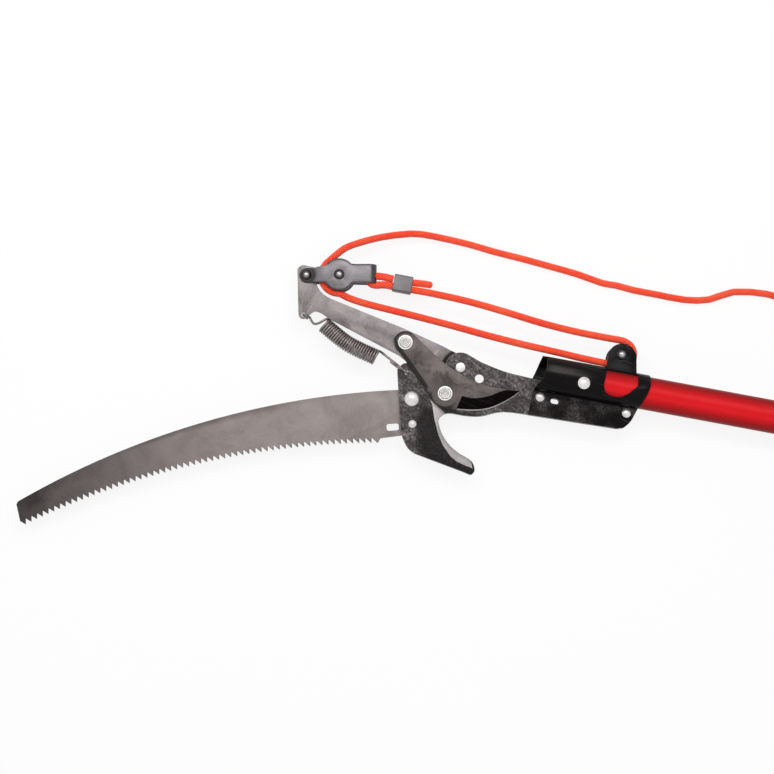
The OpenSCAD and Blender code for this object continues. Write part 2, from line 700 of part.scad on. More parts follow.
module coil_tie() color([0.1, 0.1, 0.1]) placed() at(COIL + [0, coil_d / 2], coil_z) difference() {
    translate([-tie_w / 2, -coil_w / 2 - tie_t, -tie_t])
        cube([tie_w, coil_w + 2 * tie_t, coil_w + 2 * tie_t]);
    translate([-reach, -coil_w / 2 - tie_gap, 0]) cube([2 * reach, coil_w + 2 * tie_gap, coil_w]);
}

function tail_path() = concat(
    on_floor([[COIL[0], COIL[1] - coil_d / 2 - coil_w / 2 + rope_d / 2, tie_t + coil_w - rope_d / 2]]),
    on_floor(TAIL_ROUTE), on_floor([[HANDLE[0] - handle_d / 2 + 1, HANDLE[1], handle_d / 2]]));
module rope_tail() color([0.93, 0.32, 0.17]) placed() rope_tube(smooth(tail_path(), 2), 8);

module pull_handle() color([0.1, 0.1, 0.11]) placed() at(HANDLE, floor_z + handle_d / 2) difference() {
    rotate([90, 0, 0]) union() {
        cylinder(h = handle_len - 2 * handle_rim, d = handle_d, center = true);
        cylinder(h = handle_len, d = handle_d - handle_rim, center = true);
    }
    rotate([0, 90, 0]) bore(rope_d + 2 * loop_gap);
}

module end_knot() color([0.93, 0.32, 0.17]) placed()
    at(HANDLE + [handle_d / 2 + rope_d, 0], floor_z + handle_d / 2) sphere(r = rope_d);

// ---- Socket ----

// Outline of one half, without its ear; the rear half reaches further towards the head
function shell_outline(front) = concat(
    front ? smooth([[84, 22], [85, 4], [83, -7], [79, -12.4], [77, -20]])
        : smooth([[82, 22], [78, 4], [75.5, -6], [75.5, -20]]),
    [[77, -38.8], [157, -36.5]],
    smooth([[163, -34.6], [168, -28], [172.4, -15.3], [177.4, -1.6], [178.6, 9.3], [176.5, 22]]));

WINDOW_X = [138.4, 167];
window_top = 14.2;
window_low = -10;
function window_outline() = concat([[WINDOW_X[0], window_top], [WINDOW_X[0] - 1, -2]],
    bow([WINDOW_X[0] + 1.5, window_low + 2.2], [WINDOW_X[1] - 5, window_low + 6.5], -4.5, 6),
    [[WINDOW_X[1] + 0.5, 3], [WINDOW_X[1], window_top]]);

function ear_outline() = concat(
    [[138.2, window_top - 2]],
    arc(EAR, ear_r, 178, 14, 14),
    [[166, window_top - 2]]);

module shell_slot() long_hole([SHELL_SLOT - [1.4, 0], SHELL_SLOT + [1.4, 0]], shell_slot_w);

module half_shell(front) difference() {
    union() {
        difference() {
            intersection() {
                union() {
                    bar_x(0, 2 * shell_end_x, inner_r + shell_t);
                    translate([0, -reach, plate_z]) cube([2 * shell_end_x, reach, shell_t]);
                }
                plate(shell_outline(front), 0, reach);
            }
            translate([0, -reach, plate_z - reach]) cube([2 * shell_end_x, reach, reach]);
            plate(window_outline(), 0, reach);
        }
        plate(ear_outline(), ear_z, shell_t);
    }
    bar_x(-1, 2 * shell_end_x + 1, inner_r);
    for (p = FLANGE_SCREWS) at(p) bore(socket_screw_d);
    at(POLE_SCREW) bore(pole_screw_d);
    at(GUIDE) bore(guide_pin_d);
    shell_slot();
}

module socket_front() color([0.07, 0.07, 0.08]) placed() half_shell(true);

module socket_rear() color([0.07, 0.07, 0.08]) placed() mirror([0, 0, 1]) half_shell(false);

module socket_screws() color([0.85, 0.85, 0.85]) placed() for (p = FLANGE_SCREWS) at(p) {
    z = plate_z + shell_t;
    dome(socket_head_d / 2, socket_head_h, z);
    shank(socket_screw_d, -z - small_nut_h - thread_out, z);
}

module socket_nuts() color([0.7, 0.7, 0.7]) placed() for (p = FLANGE_SCREWS)
    at(p) nut(small_nut_w, socket_screw_d, small_nut_h, -plate_z - shell_t);

module pole_screw() color([0.85, 0.85, 0.85]) placed() at(POLE_SCREW) {
    z = inner_r + shell_t;
    dome(pole_head_d / 2, socket_head_h, z);
    shank(pole_screw_d, -z - small_nut_h - thread_out, z);
}

module pole_screw_nut() color([0.7, 0.7, 0.7]) placed() at(POLE_SCREW)
    nut(small_nut_w, pole_screw_d, small_nut_h, -inner_r - shell_t);

module guide_pulley() color([0.22, 0.22, 0.23]) placed() at(GUIDE)
    sheave(guide_rope_r, guide_w, guide_pin_d / 2 + pin_gap, guide_rim);

module guide_rivet() color([0.5, 0.5, 0.5]) placed() at(GUIDE) {
    z = ear_z + shell_t;
    shank(guide_pin_d, -z, z);
    rivet_heads(z);
}

// ---- Pole ----

module tube_x(x0, x1, r_out, r_in) difference() {
    bar_x(x0, x1, r_out);
    bar_x(x0 - 1, x1 + 1, r_in);
}

module inner_pole() color([0.8, 0.06, 0.08]) placed() difference() {
    tube_x(pole_x, inner_end_x, inner_r, inner_r - inner_wall);
    at(POLE_SCREW) bore(pole_screw_d);
}

module inner_plug() color([0.1, 0.1, 0.1]) placed() {
    bar_x(inner_end_x - plug_len, inner_end_x, inner_r - inner_wall);
    bar_x(inner_end_x, inner_end_x + plug_rim, outer_in_r - slide_gap);
}

module outer_pole() color([0.8, 0.06, 0.08]) placed() tube_x(outer_x, outer_end_x, outer_r, outer_in_r);

ear_x = collar_x + 10;
clamp_x = ear_x + clamp_ear_len / 2;
ear_y = slit_w / 2 + clamp_ear_t;
cam_y = ear_y + cam_r + plate_gap;

module lock_collar() color([0.09, 0.09, 0.1]) placed() difference() {
    union() {
        bar_x(collar_x, collar_x + collar_len, collar_r);
        translate([ear_x, -ear_y, 0]) cube([clamp_ear_len, 2 * ear_y, clamp_h + clamp_ear_top]);
    }
    bar_x(collar_x - 1, outer_x, inner_r + slide_gap);
    bar_x(outer_x, collar_x + collar_len + 1, outer_r);
    translate([collar_x - 1, -slit_w / 2, 0]) cube([slit_len + 1, slit_w, reach]);
    translate([clamp_x, 0, clamp_h]) rotate([90, 0, 0]) bore(clamp_bolt_d);
}

module clamp_bolt() color([0.75, 0.75, 0.75]) placed() translate([clamp_x, 0, clamp_h]) difference() {
    union() {
        rotate([-90, 0, 0]) shank(clamp_bolt_d, -ear_y, cam_y);
        rotate([90, 0, 0]) translate([0, 0, ear_y])
            cylinder(h = clamp_head_h, d = 2 * clamp_bolt_d, $fn = 6);
        translate([0, cam_y, -clamp_bolt_d / 2]) cylinder(h = clamp_bolt_d, d = 2 * lock_pin_d);
    }
    translate([0, cam_y, 0]) bore(lock_pin_d);
}

module lock_pin() color([0.75, 0.75, 0.75]) placed() translate([clamp_x, cam_y, clamp_h])
    cylinder(h = lock_w + 2, d = lock_pin_d, center = true);

function lock_outline() = concat(arc([0, 0], cam_r, 90, 290, 12),
    smooth([[8, -4.8], [18, -3.2], [34, -3], [50, -1.6], [lock_len - 3, 1.6], [lock_len, 4]]),
    smooth([[lock_len - 2, 6.2], [50, 4.4], [34, 3.6], [18, 4.6], [8, 6.4]]));

module lock_lever() color([0.75, 0.08, 0.1]) placed() translate([clamp_x, cam_y, clamp_h]) difference() {
    plate(lock_outline(), -lock_w / 2, lock_w);
    bore(lock_pin_d + 2 * pin_gap);
    cylinder(h = clamp_bolt_d + 2 * plate_gap, r = cam_r + plate_gap, center = true);
}

module foam_grip() color([0.12, 0.12, 0.12]) placed()
    tube_x(outer_end_x - grip_len, outer_end_x, grip_r, outer_r);

module butt_cap() color([0.08, 0.08, 0.08]) placed() difference() {
    union() {
        bar_x(outer_end_x, butt_x, cap_r);
        bar_x(outer_end_x - cap_plug_len, outer_end_x, outer_in_r);
    }
    at([butt_x - cap_len / 2, 0]) bore(hang_d);
}

hook_frame();
saw_blade();
saw_bolt();
saw_bolt_nut();
saw_screw();
saw_screw_nut();
pivot_bolt();
pivot_nut();
lever_rivet();
cutter_blade();
tail_pin();
lever_arm();
return_spring();
block_strap();
block_pin();
block_axle();
block_sheave();
rope_loop();
rope_ferrule();
rope_tackle();
rope_free();
rope_coil();
coil_tie();
rope_tail();
pull_handle();
end_knot();
socket_front();
socket_rear();
socket_screws();
socket_nuts();
pole_screw();
pole_screw_nut();
guide_pulley();
guide_rivet();
inner_pole();
inner_plug();
outer_pole();
lock_collar();
clamp_bolt();
lock_pin();
lock_lever();
foam_grip();
butt_cap();
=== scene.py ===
"""Looks of a telescoping pole saw: pull saw, rope-driven pruner, socket, hauling rope and pole."""

import logging
import math
from dataclasses import dataclass, replace
from enum import Enum
from functools import cache
from typing import Any, Callable, Iterable, Sequence

import bmesh
import bpy
from mathutils import Matrix, Vector


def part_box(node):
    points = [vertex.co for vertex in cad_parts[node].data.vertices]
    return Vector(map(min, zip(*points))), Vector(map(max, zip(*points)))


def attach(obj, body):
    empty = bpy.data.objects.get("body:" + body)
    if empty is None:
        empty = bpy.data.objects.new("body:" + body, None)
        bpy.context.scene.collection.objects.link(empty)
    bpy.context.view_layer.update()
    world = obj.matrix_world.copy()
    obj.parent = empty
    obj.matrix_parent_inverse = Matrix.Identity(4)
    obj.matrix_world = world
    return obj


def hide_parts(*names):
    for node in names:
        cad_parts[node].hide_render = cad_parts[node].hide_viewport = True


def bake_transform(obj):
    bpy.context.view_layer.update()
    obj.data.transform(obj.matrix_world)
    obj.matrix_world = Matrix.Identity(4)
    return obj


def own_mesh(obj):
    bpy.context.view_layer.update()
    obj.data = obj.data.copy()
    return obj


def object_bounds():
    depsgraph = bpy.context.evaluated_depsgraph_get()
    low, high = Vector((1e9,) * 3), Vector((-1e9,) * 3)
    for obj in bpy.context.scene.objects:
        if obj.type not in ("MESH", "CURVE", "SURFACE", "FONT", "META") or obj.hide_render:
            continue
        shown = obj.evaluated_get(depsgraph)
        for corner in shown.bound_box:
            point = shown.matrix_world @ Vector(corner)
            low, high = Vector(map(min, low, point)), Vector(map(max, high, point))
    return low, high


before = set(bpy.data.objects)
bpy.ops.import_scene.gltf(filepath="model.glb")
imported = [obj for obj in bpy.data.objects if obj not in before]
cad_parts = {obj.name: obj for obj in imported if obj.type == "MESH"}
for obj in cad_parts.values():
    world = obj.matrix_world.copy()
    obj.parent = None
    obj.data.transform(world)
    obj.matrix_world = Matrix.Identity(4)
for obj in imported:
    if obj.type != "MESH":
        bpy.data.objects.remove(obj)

LOG = logging.getLogger("pole_saw")
CAD_BOX = [list(corner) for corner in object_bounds()]
FLOOR_Z = CAD_BOX[0][2]
MM = 0.001
PER_MM = 1000.0
PIVOT_LOW, PIVOT_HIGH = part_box("pivot_bolt")
HEAD_X = (PIVOT_LOW.x + PIVOT_HIGH.x) / 2
POLE_LOW, POLE_HIGH = (Vector(corner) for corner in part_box("inner_pole"))
POLE_Y = (POLE_LOW.y + POLE_HIGH.y) / 2

Point = tuple[float, float]
Place = tuple[float, float, float]
Colour = tuple[float, float, float]
Mesh = bmesh.types.BMesh

UP = Vector((0, 0, 1))
WELD = 1e-6

# Axes in the head's own drawing, in millimetres
PIVOT: Point = (0.0, -34.0)
TAIL_PIN: Point = (-43.4, 5.0)
BLOCK_PIN: Point = (-142.9, 49.4)
BLOCK_AXLE: Point = (-113.5, 54.9)
GUIDE_AXLE: Point = (149.6, 29.4)
SHEAVE_R = 16.4
LEAD_ANGLE = 140.0


class Body(Enum):
    """The bodies that pieces ride on."""

    HEAD = "head"
    CUTTER = "cutter"
    LEVER = "lever"
    BLOCK = "block"
    BLOCK_WHEEL = "block_wheel"
    GUIDE_WHEEL = "guide_wheel"
    HANDLE_POLE = "handle_pole"
    POLE_LOCK = "pole_lock"
    SPRING_END = "spring_end"


def at_head(x: float, y: float, z: float = 0.0) -> Vector:
    """Return the place that has these millimetre coordinates in the head's own drawing."""
    return Vector((HEAD_X + x * MM, y * MM, z * MM))


def direction(degrees: float) -> Vector:
    """Return a level direction at this angle to the pole."""
    return Vector((math.cos(math.radians(degrees)), math.sin(math.radians(degrees)), 0))


def srgb(red: int, green: int, blue: int) -> Colour:
    """Return the linear colour for three 0 to 255 display values.

    Args:
        red: The red value.
        green: The green value.
        blue: The blue value.

    Returns:
        The three linear channels.
    """
    def linear(value: int) -> float:
        """Return one channel, linear."""
        share = value / 255
        return share / 12.92 if share <= 0.04045 else ((share + 0.055) / 1.055) ** 2.4
    return linear(red), linear(green), linear(blue)


def tinted(colour: Colour, factor: float, lift: float = 0.0) -> Colour:
    """Return a colour times a factor, lifted and kept within 1."""
    return tuple(min(1.0, value * factor + lift) for value in colour)


# ---- Shader graphs ----


def _operator(operation: str) -> Callable[..., "Socket"]:
    """Return a Socket method that adds this operation of a Math node.

    Args:
        operation: The name of the operation.

    Returns:
        The method, which takes the other values as they come.
    """
    def method(*values: Any) -> "Socket":
        """Return the operation on the socket and the other values."""
        return values[0].graph.node("ShaderNodeMath", {"operation": operation},
                                    dict(enumerate(values)))
    return method


class Socket:
    """An output in a shader graph that takes part in arithmetic."""

    __add__ = __radd__ = _operator("ADD")
    __sub__ = _operator("SUBTRACT")
    __mul__ = __rmul__ = _operator("MULTIPLY")
    __pow__ = _operator("POWER")
    sine = _operator("SINE")
    size = _operator("ABSOLUTE")
    larger = _operator("MAXIMUM")
    smaller = _operator("MINIMUM")

    def __init__(self, graph: "Graph", output: bpy.types.NodeSocket) -> None:
        """Keep the graph and the output."""
        self.graph = graph
        self.output = output

    def __rsub__(self, other: float) -> "Socket":
        """Return other - self."""
        return self.graph.node("ShaderNodeMath", {"operation": "SUBTRACT"}, {0: other, 1: self})

    def between(self, low: float, high: float) -> "Socket":
        """Return a soft step from 0 at low to 1 at high, which may be below low."""
        return self.graph.node("ShaderNodeMapRange", {"interpolation_type": "SMOOTHSTEP"},
                               {0: self, 1: low, 2: high, 3: 0.0, 4: 1.0})

    def ramp(self, *stops: tuple[float, float]) -> "Socket":
        """Return self through a ramp of grey stops, each a place and a value."""
        return self.graph.ramp(self, [(place, (value,) * 3) for place, value in stops])


class Graph:
    """The nodes of a material or of the world, while they are being built."""

    def __init__(self, name: str, world: bool = False) -> None:
        """Start an empty material or world of this name.

        Args:
            name: Its name.
            world: Whether it is the world instead of a material.
        """
        self.owner = (bpy.data.worlds if world else bpy.data.materials).new(name)
        self.owner.use_nodes = True
        self.tree = self.owner.node_tree
        self.tree.nodes.clear()
        self.end = "ShaderNodeOutputWorld" if world else "ShaderNodeOutputMaterial"
        if not world:
            self.place = self.node("ShaderNodeTexCoord", output="Object")

    def node(self, kind: str, settings: dict | None = None, values: dict | None = None,
             output: int | str = 0) -> Socket:
        """Add a node.

        Args:
            kind: The node's type.
            settings: Properties that are set before the sockets; "stops" fills a colour ramp.
            values: A value or a Socket for each input, by name or number.
            output: The output to return.

        Returns:
            The chosen output.
        """
        made = self.tree.nodes.new(kind)
        for name, value in (settings or {}).items():
            if name == "stops":
                ramp = made.color_ramp
                while len(ramp.elements) < len(value):
                    ramp.elements.new(1.0)
                for element, (place, colour) in zip(ramp.elements, value):
                    element.position = place
                    element.color = (*colour, 1.0)
            else:
                setattr(made, name, value)
        for name, value in (values or {}).items():
            if isinstance(value, Socket):
                self.tree.links.new(value.output, made.inputs[name])
            else:
                wide = made.inputs[name].type == "RGBA" and len(value) == 3
                made.inputs[name].default_value = (*value, 1.0) if wide else value
        return Socket(self, made.outputs[output])

    def ramp(self, value: Socket, stops: Sequence[tuple[float, Colour]]) -> Socket:
        """Return a value through a colour ramp."""
        return self.node("ShaderNodeValToRGB", {"stops": stops}, {0: value})

    def mix(self, share: Any, first: Any, second: Any) -> Socket:
        """Return the first colour turning into the second as share goes from 0 to 1."""
        return self.node("ShaderNodeMix", {"data_type": "RGBA"}, {0: share, 6: first, 7: second}, 2)

    def streaks(self, scale: Place, turn: float, detail: float, rough: float) -> Socket:
        """Return noise with a scale of its own along each of three turned axes.

        Args:
            scale: Features a metre along each axis.
            turn: How far the axes are turned about Z, in radians.
            detail: Levels of finer noise.
            rough: How strong the finer noise is.

        Returns:
            The noise, from 0 to 1.
        """
        moved = self.node("ShaderNodeMapping", {"vector_type": "POINT"},
                          {0: self.place, 2: (0, 0, turn)})
        place = self.node("ShaderNodeVectorMath", {"operation": "MULTIPLY"}, {0: moved, 1: scale})
        return self.noise(1.0, detail, rough, place=place)

    def noise(self, scale: float, detail: float = 4.0, rough: float = 0.55, swirl: float = 0.0,
              place: Socket | None = None) -> Socket:
        """Return fractal noise.

        Args:
            scale: Features a metre.
            detail: Levels of finer noise.
            rough: How strong the finer noise is.
            swirl: How far the noise bends itself.
            place: Where it is read, if not at the object's own coordinates.

        Returns:
            The noise, from 0 to 1.
        """
        return self.node("ShaderNodeTexNoise", None, {
            "Vector": place or self.place, "Scale": scale, "Detail": detail,
            "Roughness": rough, "Distortion": swirl})

    def cells(self, scale: float) -> Socket:
        """Return the distance in a cell pattern of this scale."""
        return self.node("ShaderNodeTexVoronoi", None, {"Vector": self.place, "Scale": scale},
                         "Distance")

    def axes(self, source: Socket | None = None) -> tuple[Socket, Socket, Socket]:
        """Return the three parts of a vector.

        Args:
            source: The vector, if not the object's own coordinates.

        Returns:
            Its X, Y and Z.
        """
        split = self.node("ShaderNodeSeparateXYZ", None, {0: source or self.place})
        node = split.output.node
        return split, Socket(self, node.outputs[1]), Socket(self, node.outputs[2])

    def head(self) -> tuple[Socket, Socket]:
        """Return the place in the head's drawing, in millimetres."""
        x, y, _ = self.axes()
        return (x - HEAD_X) * PER_MM, y * PER_MM

    def away(self, x: float, y: float) -> Socket:
        """Return the distance from a place in the head's drawing, in millimetres."""
        across, up = self.head()
        return ((across - x) ** 2.0 + (up - y) ** 2.0) ** 0.5

    def bump(self, height: Socket, depth: float, strength: float = 1.0) -> Socket:
        """Return a normal for a height map that is depth metres deep."""
        return self.node("ShaderNodeBump", None,
                         {"Height": height, "Distance": depth, "Strength": strength})

    def seen(self) -> Socket:
        """Return 1 or more for rays that show a background, straight or by a mirror or glass.

        Returns:
            The sum of the three kinds of ray.
        """
        straight = self.node("ShaderNodeLightPath", output="Is Camera Ray")
        rays = straight.output.node.outputs
        mirrored = Socket(self, rays["Is Glossy Ray"])
        return straight + mirrored + Socket(self, rays["Is Transmission Ray"])

    def finish(self, constants: dict | None = None, **varying: Any) -> bpy.types.Material:
        """Close the graph with its surface.

        Args:
            constants: Values set on the surface's own sockets.
            **varying: Links or values for Base_Color, Roughness, Metallic and Normal.

        Returns:
            The finished material.
        """
        values = {name.replace("_", " "): value for name, value in varying.items()}
        return self.close(self.node("ShaderNodeBsdfPrincipled", None,
                                    {**values, **(constants or {})}))

    def close(self, shader: Socket) -> bpy.types.Material | bpy.types.World:
        """Make a shader the surface and return the material or world."""
        self.tree.links.new(shader.output, self.tree.nodes.new(self.end).inputs[0])
        return self.owner


# ---- Finishes ----


class Finish:
    """The kind of surface that a piece has, whose material is made when it is first used."""

    name: str

    @cache
    def made(self) -> bpy.types.Material:
        """Return the finish's material, which is made once."""
        return self.material(Graph(self.name))

    def material(self, g: Graph) -> bpy.types.Material:
        """Return the finished material, made in an empty graph."""
        raise NotImplementedError


@dataclass(frozen=True)
class Steel(Finish):
    """A steel surface with smudges, fine grinding lines and scratches.

    The two tones are the dark and the light parts of the surface. Lines run along a direction
    that is turned by lines_turn about Z from the pole. A shade is a function of the graph that
    returns where the surface is darkened, as a share.
    """

    name: str
    dark: Colour
    light: Colour
    rough: float = 0.42
    metal: float = 0.85
    smudge: float = 38.0
    lines_turn: float = 0.0
    lines: float = 0.25
    scratches: float = 0.5
    bump_depth: float = 0.00006
    shade: Callable[[Graph], Socket] | None = None

    def material(self, g: Graph) -> bpy.types.Material:
        """Return the finished material.

        Args:
            g: An empty graph of the material's name.

        Returns:
            The finished material.
        """
        clouds = g.noise(self.smudge, 6, 0.62, 0.6)
        grain = g.noise(self.smudge * 14, 5, 0.7)
        brushed = g.streaks((60, 2600, 60), -self.lines_turn, 3, 0.6)
        cuts = g.streaks((45, 1500, 45), 0.9 - self.lines_turn, 2, 0.5)
        cuts = cuts.ramp((0.655, 0.0), (0.70, 1.0)) * self.scratches
        tone = clouds * 0.62 + grain * 0.26 + brushed * self.lines * 0.5
        tone = tone.ramp((0.26, 0.0), (0.40, 0.30), (0.52, 0.68), (0.68, 1.0))
        base = g.mix(tone, self.dark, self.light)
        base = g.mix(cuts * 0.35, base, tinted(self.light, 1.9, 0.05))
        # The shade function darkens the colour: painted shade on most finishes, with stains as well
        # on the cutter.
        if self.shade:
            base = g.mix(self.shade(g), base, tinted(self.dark, 0.18))
        rough = (grain - 0.5) * 0.25 + self.rough + (0.5 - clouds) * 0.18
        height = grain * 0.35 + brushed * self.lines - cuts * 0.5
        return g.finish(Base_Color=base, Roughness=rough, Metallic=self.metal,
                        Normal=g.bump(height, self.bump_depth, 0.8))


@dataclass(frozen=True)
class WornCoat(Finish):
    """Black coated steel plate with rubbed grey patches, flecks and fine scratches."""

    name: str
    coat: Colour = (0.022, 0.0175, 0.018)
    bare: Colour = (0.34, 0.298, 0.294)
    rough: float = 0.42
    shade: Callable[[Graph], Socket] | None = None

    def material(self, g: Graph) -> bpy.types.Material:
        """Return the finished material.

        Args:
            g: An empty graph of the material's name.

        Returns:
            The finished material.
        """
        patches = g.noise(60, 7, 0.82, 0.3)
        flecks = g.noise(480, 4, 0.85)
        rubs = g.streaks((45, 380, 60), 0.5, 4, 0.6)
        chips = g.cells(330).ramp((0.0, 1.0), (0.12, 0.7), (0.2, 0.0), (1.0, 0.0))
        chips = chips * g.noise(60, 2).ramp((0.54, 0.0), (0.62, 1.0))
        marks = patches * 0.62 + flecks * 0.72 + rubs * 0.26 - 0.30
        marks = marks.ramp((0.40, 0.0), (0.49, 0.08), (0.58, 0.32), (0.72, 1.0))
        base = g.mix(marks, self.coat, self.bare)
        base = g.mix(chips * 0.6, base, tinted(self.bare, 2.2))
        if self.shade:
            base = g.mix(self.shade(g), base, tinted(self.coat, 0.25))
        rough = (flecks - 0.5) * 0.3 + self.rough + marks * 0.10
        height = flecks * 0.5 + rubs * 0.3 - chips * 0.6
        return g.finish({"Specular IOR Level": 0.16}, Base_Color=base, Roughness=rough,
                        Metallic=marks * 0.5, Normal=g.bump(height, 0.00007, 0.7))


@dataclass(frozen=True)
class Gloss(Finish):
    """Gloss paint or enamel with a light orange peel, dust and scuffs."""

    name: str
    colour: Colour
    rough: float = 0.16
    shine: float = 0.12
    peel: float = 0.00003
    drift: float = 0.12
    # The mark function and its colour lay rubbed enamel and a painted highlight on the socket, and
    # painted shade on the pole's sides.
    marks: Callable[[Graph], Socket] | None = None
    marks_colour: Colour = (0.075, 0.064, 0.064)

    def material(self, g: Graph) -> bpy.types.Material:
        """Return the finished material.

        Args:
            g: An empty graph of the material's name.

        Returns:
            The finished material.
        """
        clouds = g.noise(14, 4, 0.6, 0.4)
        peel = g.noise(520, 3, 0.5)
        specks = g.noise(1500, 2, 0.6).ramp((0.66, 0.0), (0.72, 1.0))
        scuffs = g.streaks((22, 700, 260), 0.2, 3, 0.6).ramp((0.62, 0.0), (0.70, 1.0))
        dark = tinted(self.colour, 1 - self.drift)
        light = tinted(self.colour, 1 + self.drift, 0.001)
        base = g.mix(clouds.ramp((0.3, 0.0), (0.7, 1.0)), dark, light)
        base = g.mix(scuffs * 0.05 + specks * 0.03, base, (0.42, 0.40, 0.40))
        # Lays on the finish's marks: wear and a painted highlight on the socket, painted shade on
        # the pole.
        if self.marks:
            base = g.mix(self.marks(g), base, self.marks_colour)
        rough = clouds * 0.08 + self.rough + scuffs * 0.16
        return g.finish({"Specular IOR Level": self.shine}, Base_Color=base, Roughness=rough,
                        Normal=g.bump(peel + scuffs * 0.2, self.peel, 0.6))


@dataclass(frozen=True)
class Moulded(Finish):
    """Moulded plastic or foam with a fine pebbled skin."""

    name: str
    colour: Colour
    rough: float = 0.5
    pebble: float = 900.0
    depth: float = 0.00012
    sheen: float = 0.0

    def material(self, g: Graph) -> bpy.types.Material:
        """Return the finished material.

        Args:
            g: An empty graph of the material's name.

        Returns:
            The finished material.
        """
        skin = g.cells(self.pebble)
        drift = g.noise(30, 5, 0.6)
        fine = g.noise(self.pebble * 1.7, 3, 0.6)
        base = g.mix((drift * 0.7 + fine * 0.3).ramp((0.3, 0.0), (0.7, 1.0)),
                     tinted(self.colour, 0.72), tinted(self.colour, 1.35, 0.006))
        rough = (skin - 0.4) * 0.25 + self.rough + (drift - 0.5) * 0.15
        return g.finish({"Sheen Weight": self.sheen, "Sheen Roughness": 0.6,
                         "Specular IOR Level": 0.2},
                        Base_Color=base, Roughness=rough,
                        Normal=g.bump(skin * 0.7 + fine * 0.3, self.depth, 0.8))


@dataclass(frozen=True)
class Braid(Finish):
    """Braided rope: crossing strands of fine yarn, with lighter flecks.

    The piece's UV map runs once round the rope in U and in metres along it in V.
    """

    name: str
    colour: Colour
    light: Colour
    dark: Colour
    strands: int = 4
    pitch: float = 0.027

    def material(self, g: Graph) -> bpy.types.Material:
        """Return the finished material.

        Args:
            g: An empty graph of the material's name.

        Returns:
            The finished material.
        """
        around, along, _ = g.axes(g.node("ShaderNodeTexCoord", output="UV"))
        around = around * (math.tau * self.strands)
        along = along * (math.tau * self.strands / self.pitch)
        right, left = around + along, around - along
        weave = right.sine() * left.sine()
        over = (weave * 0.5 + 0.5).ramp((0.0, 0.0), (0.44, 0.1), (0.56, 0.9), (1.0, 1.0))
        yarn = (right * 2.0).sine().size() * over + (left * 2.0).sine().size() * (1 - over)
        fleck = g.noise(1100, 3, 0.75)
        drift = g.noise(30, 4, 0.6)
        tone = weave.size() * 0.6 + yarn * 0.15 + (fleck - 0.5) * 0.55 + (drift - 0.5) * 0.3
        base = g.ramp(tone, [(0.12, self.dark), (0.36, self.colour), (0.52, self.colour),
                             (0.84, self.light)])
        return g.finish({"Sheen Weight": 0.15, "Sheen Roughness": 0.5, "Specular IOR Level": 0.15},
                        Base_Color=base, Roughness=(0.5 - yarn) * 0.15 + 0.6,
                        Normal=g.bump(weave.size() * 0.7 + yarn * 0.3, 0.0005, 0.9))


@dataclass(frozen=True)
class Webbing(Finish):
    """Woven strap with a herringbone of fine threads."""

    name: str
    colour: Colour

    def material(self, g: Graph) -> bpy.types.Material:
        """Return the finished material.

        Args:
            g: An empty graph of the material's name.

        Returns:
            The finished material.
        """
        x, y, z = g.axes()
        warp = (x * 7000).sine().size()
        weft = ((y + z) * 5200 + (x * 900).sine() * 1.5).sine().size()
        fuzz = g.noise(1800, 3, 0.7)
        tone = warp * 0.35 + weft * 0.35 + fuzz * 0.4
        base = g.mix(tone.ramp((0.3, 0.0), (0.9, 1.0)), tinted(self.colour, 0.5),
                     tinted(self.colour, 1.7, 0.01))
        return g.finish({"Sheen Weight": 0.3}, Base_Color=base, Roughness=0.75,
                        Normal=g.bump(warp * 0.5 + weft * 0.5, 0.0002, 0.8))


def saw_tip_and_painted_shade(g: Graph) -> Socket:
    """Return where the saw is darker: towards its tip, and with painted shade along its back and
    among its teeth.

    Args:
        g: The material's graph.

    Returns:
        The share of the darkening at each place, from 0 to 1.
    """
    x, y = g.head()
    back = x ** 2.0 * -0.00097 + x * 0.1225 - 30.75
    teeth = x ** 2.0 * -0.000828 + x * 0.1012 - 80.83
    cloud = g.noise(45, 5, 0.65)
    tip = x.between(-150.0, -385.0) * (cloud * 0.7 + 0.55)
    tip = tip + x.between(-325.0, -364.0) * 0.12
    # Painted shade along the saw's back edge and among its teeth.
    spine = (back - y).between(9.0, 0.0) * x.between(-60.0, -230.0) * (cloud * 0.5 + 0.35)
    low = (y - teeth).between(4.0, -1.5) * (cloud * 0.5 + 0.5)
    return tip.larger(spine).larger(low)


def hook_shade(g: Graph) -> Socket:
    """Return where the plate is darker: round the hook's throat and along its nose.

    Args:
        g: The material's graph.

    Returns:
        The share of the darkening at each place, from 0 to 1.
    """
    _, y = g.head()
    cloud = g.noise(60, 4, 0.6)
    near = (g.away(28.0, -62.0) + (cloud - 0.5) * 14.0).between(56.0, 42.0)
    flecks = g.noise(560, 3, 0.85).between(0.62, 0.45) * 0.2 + 0.8
    return near * y.between(-44.0, -52.0) * flecks


def nose_painted_shadow(g: Graph) -> Socket:
    """Return the painted shadow on the lever, in the fold beside the plate's nose."""
    return g.away(9.5, -7.7).between(18.6, 16.2) * 0.93


def cutter_stains_and_painted_shade(g: Graph) -> Socket:
    """Return the cutter's stains, and painted shade along its edges at its tail, its lower side and
    its hub.

    Args:
        g: The material's graph.

    Returns:
        The share of the darkening at each place, from 0 to 1.
    """
    x, y = g.head()
    cloud = g.noise(55, 6, 0.7, 0.8)
    stains = cloud.between(0.52, 0.68) * 0.55
    # Painted shade along the cutter's edges: round the tail, down the lower side and at the hub.
    beyond = (x - TAIL_PIN[0]) * -0.744 + (y - TAIL_PIN[1]) * 0.669 + (cloud - 0.5) * 4.0
    tail = g.away(*TAIL_PIN).between(6.9, 9.0) * beyond.between(-4.0, 5.0) * 0.92
    inside = (x + 53.2) * 0.701 + (y - 4.1) * 0.713
    side = inside.between(2.3, 1.2) * x.between(-14.0, -18.0)
    hub = g.away(*PIVOT).between(10.8, 12.6) * y.between(-33.0, -38.0) * x.between(14.0, 6.0)
    return stains.larger(tail).larger(side * 0.9).larger(hub * 0.9)


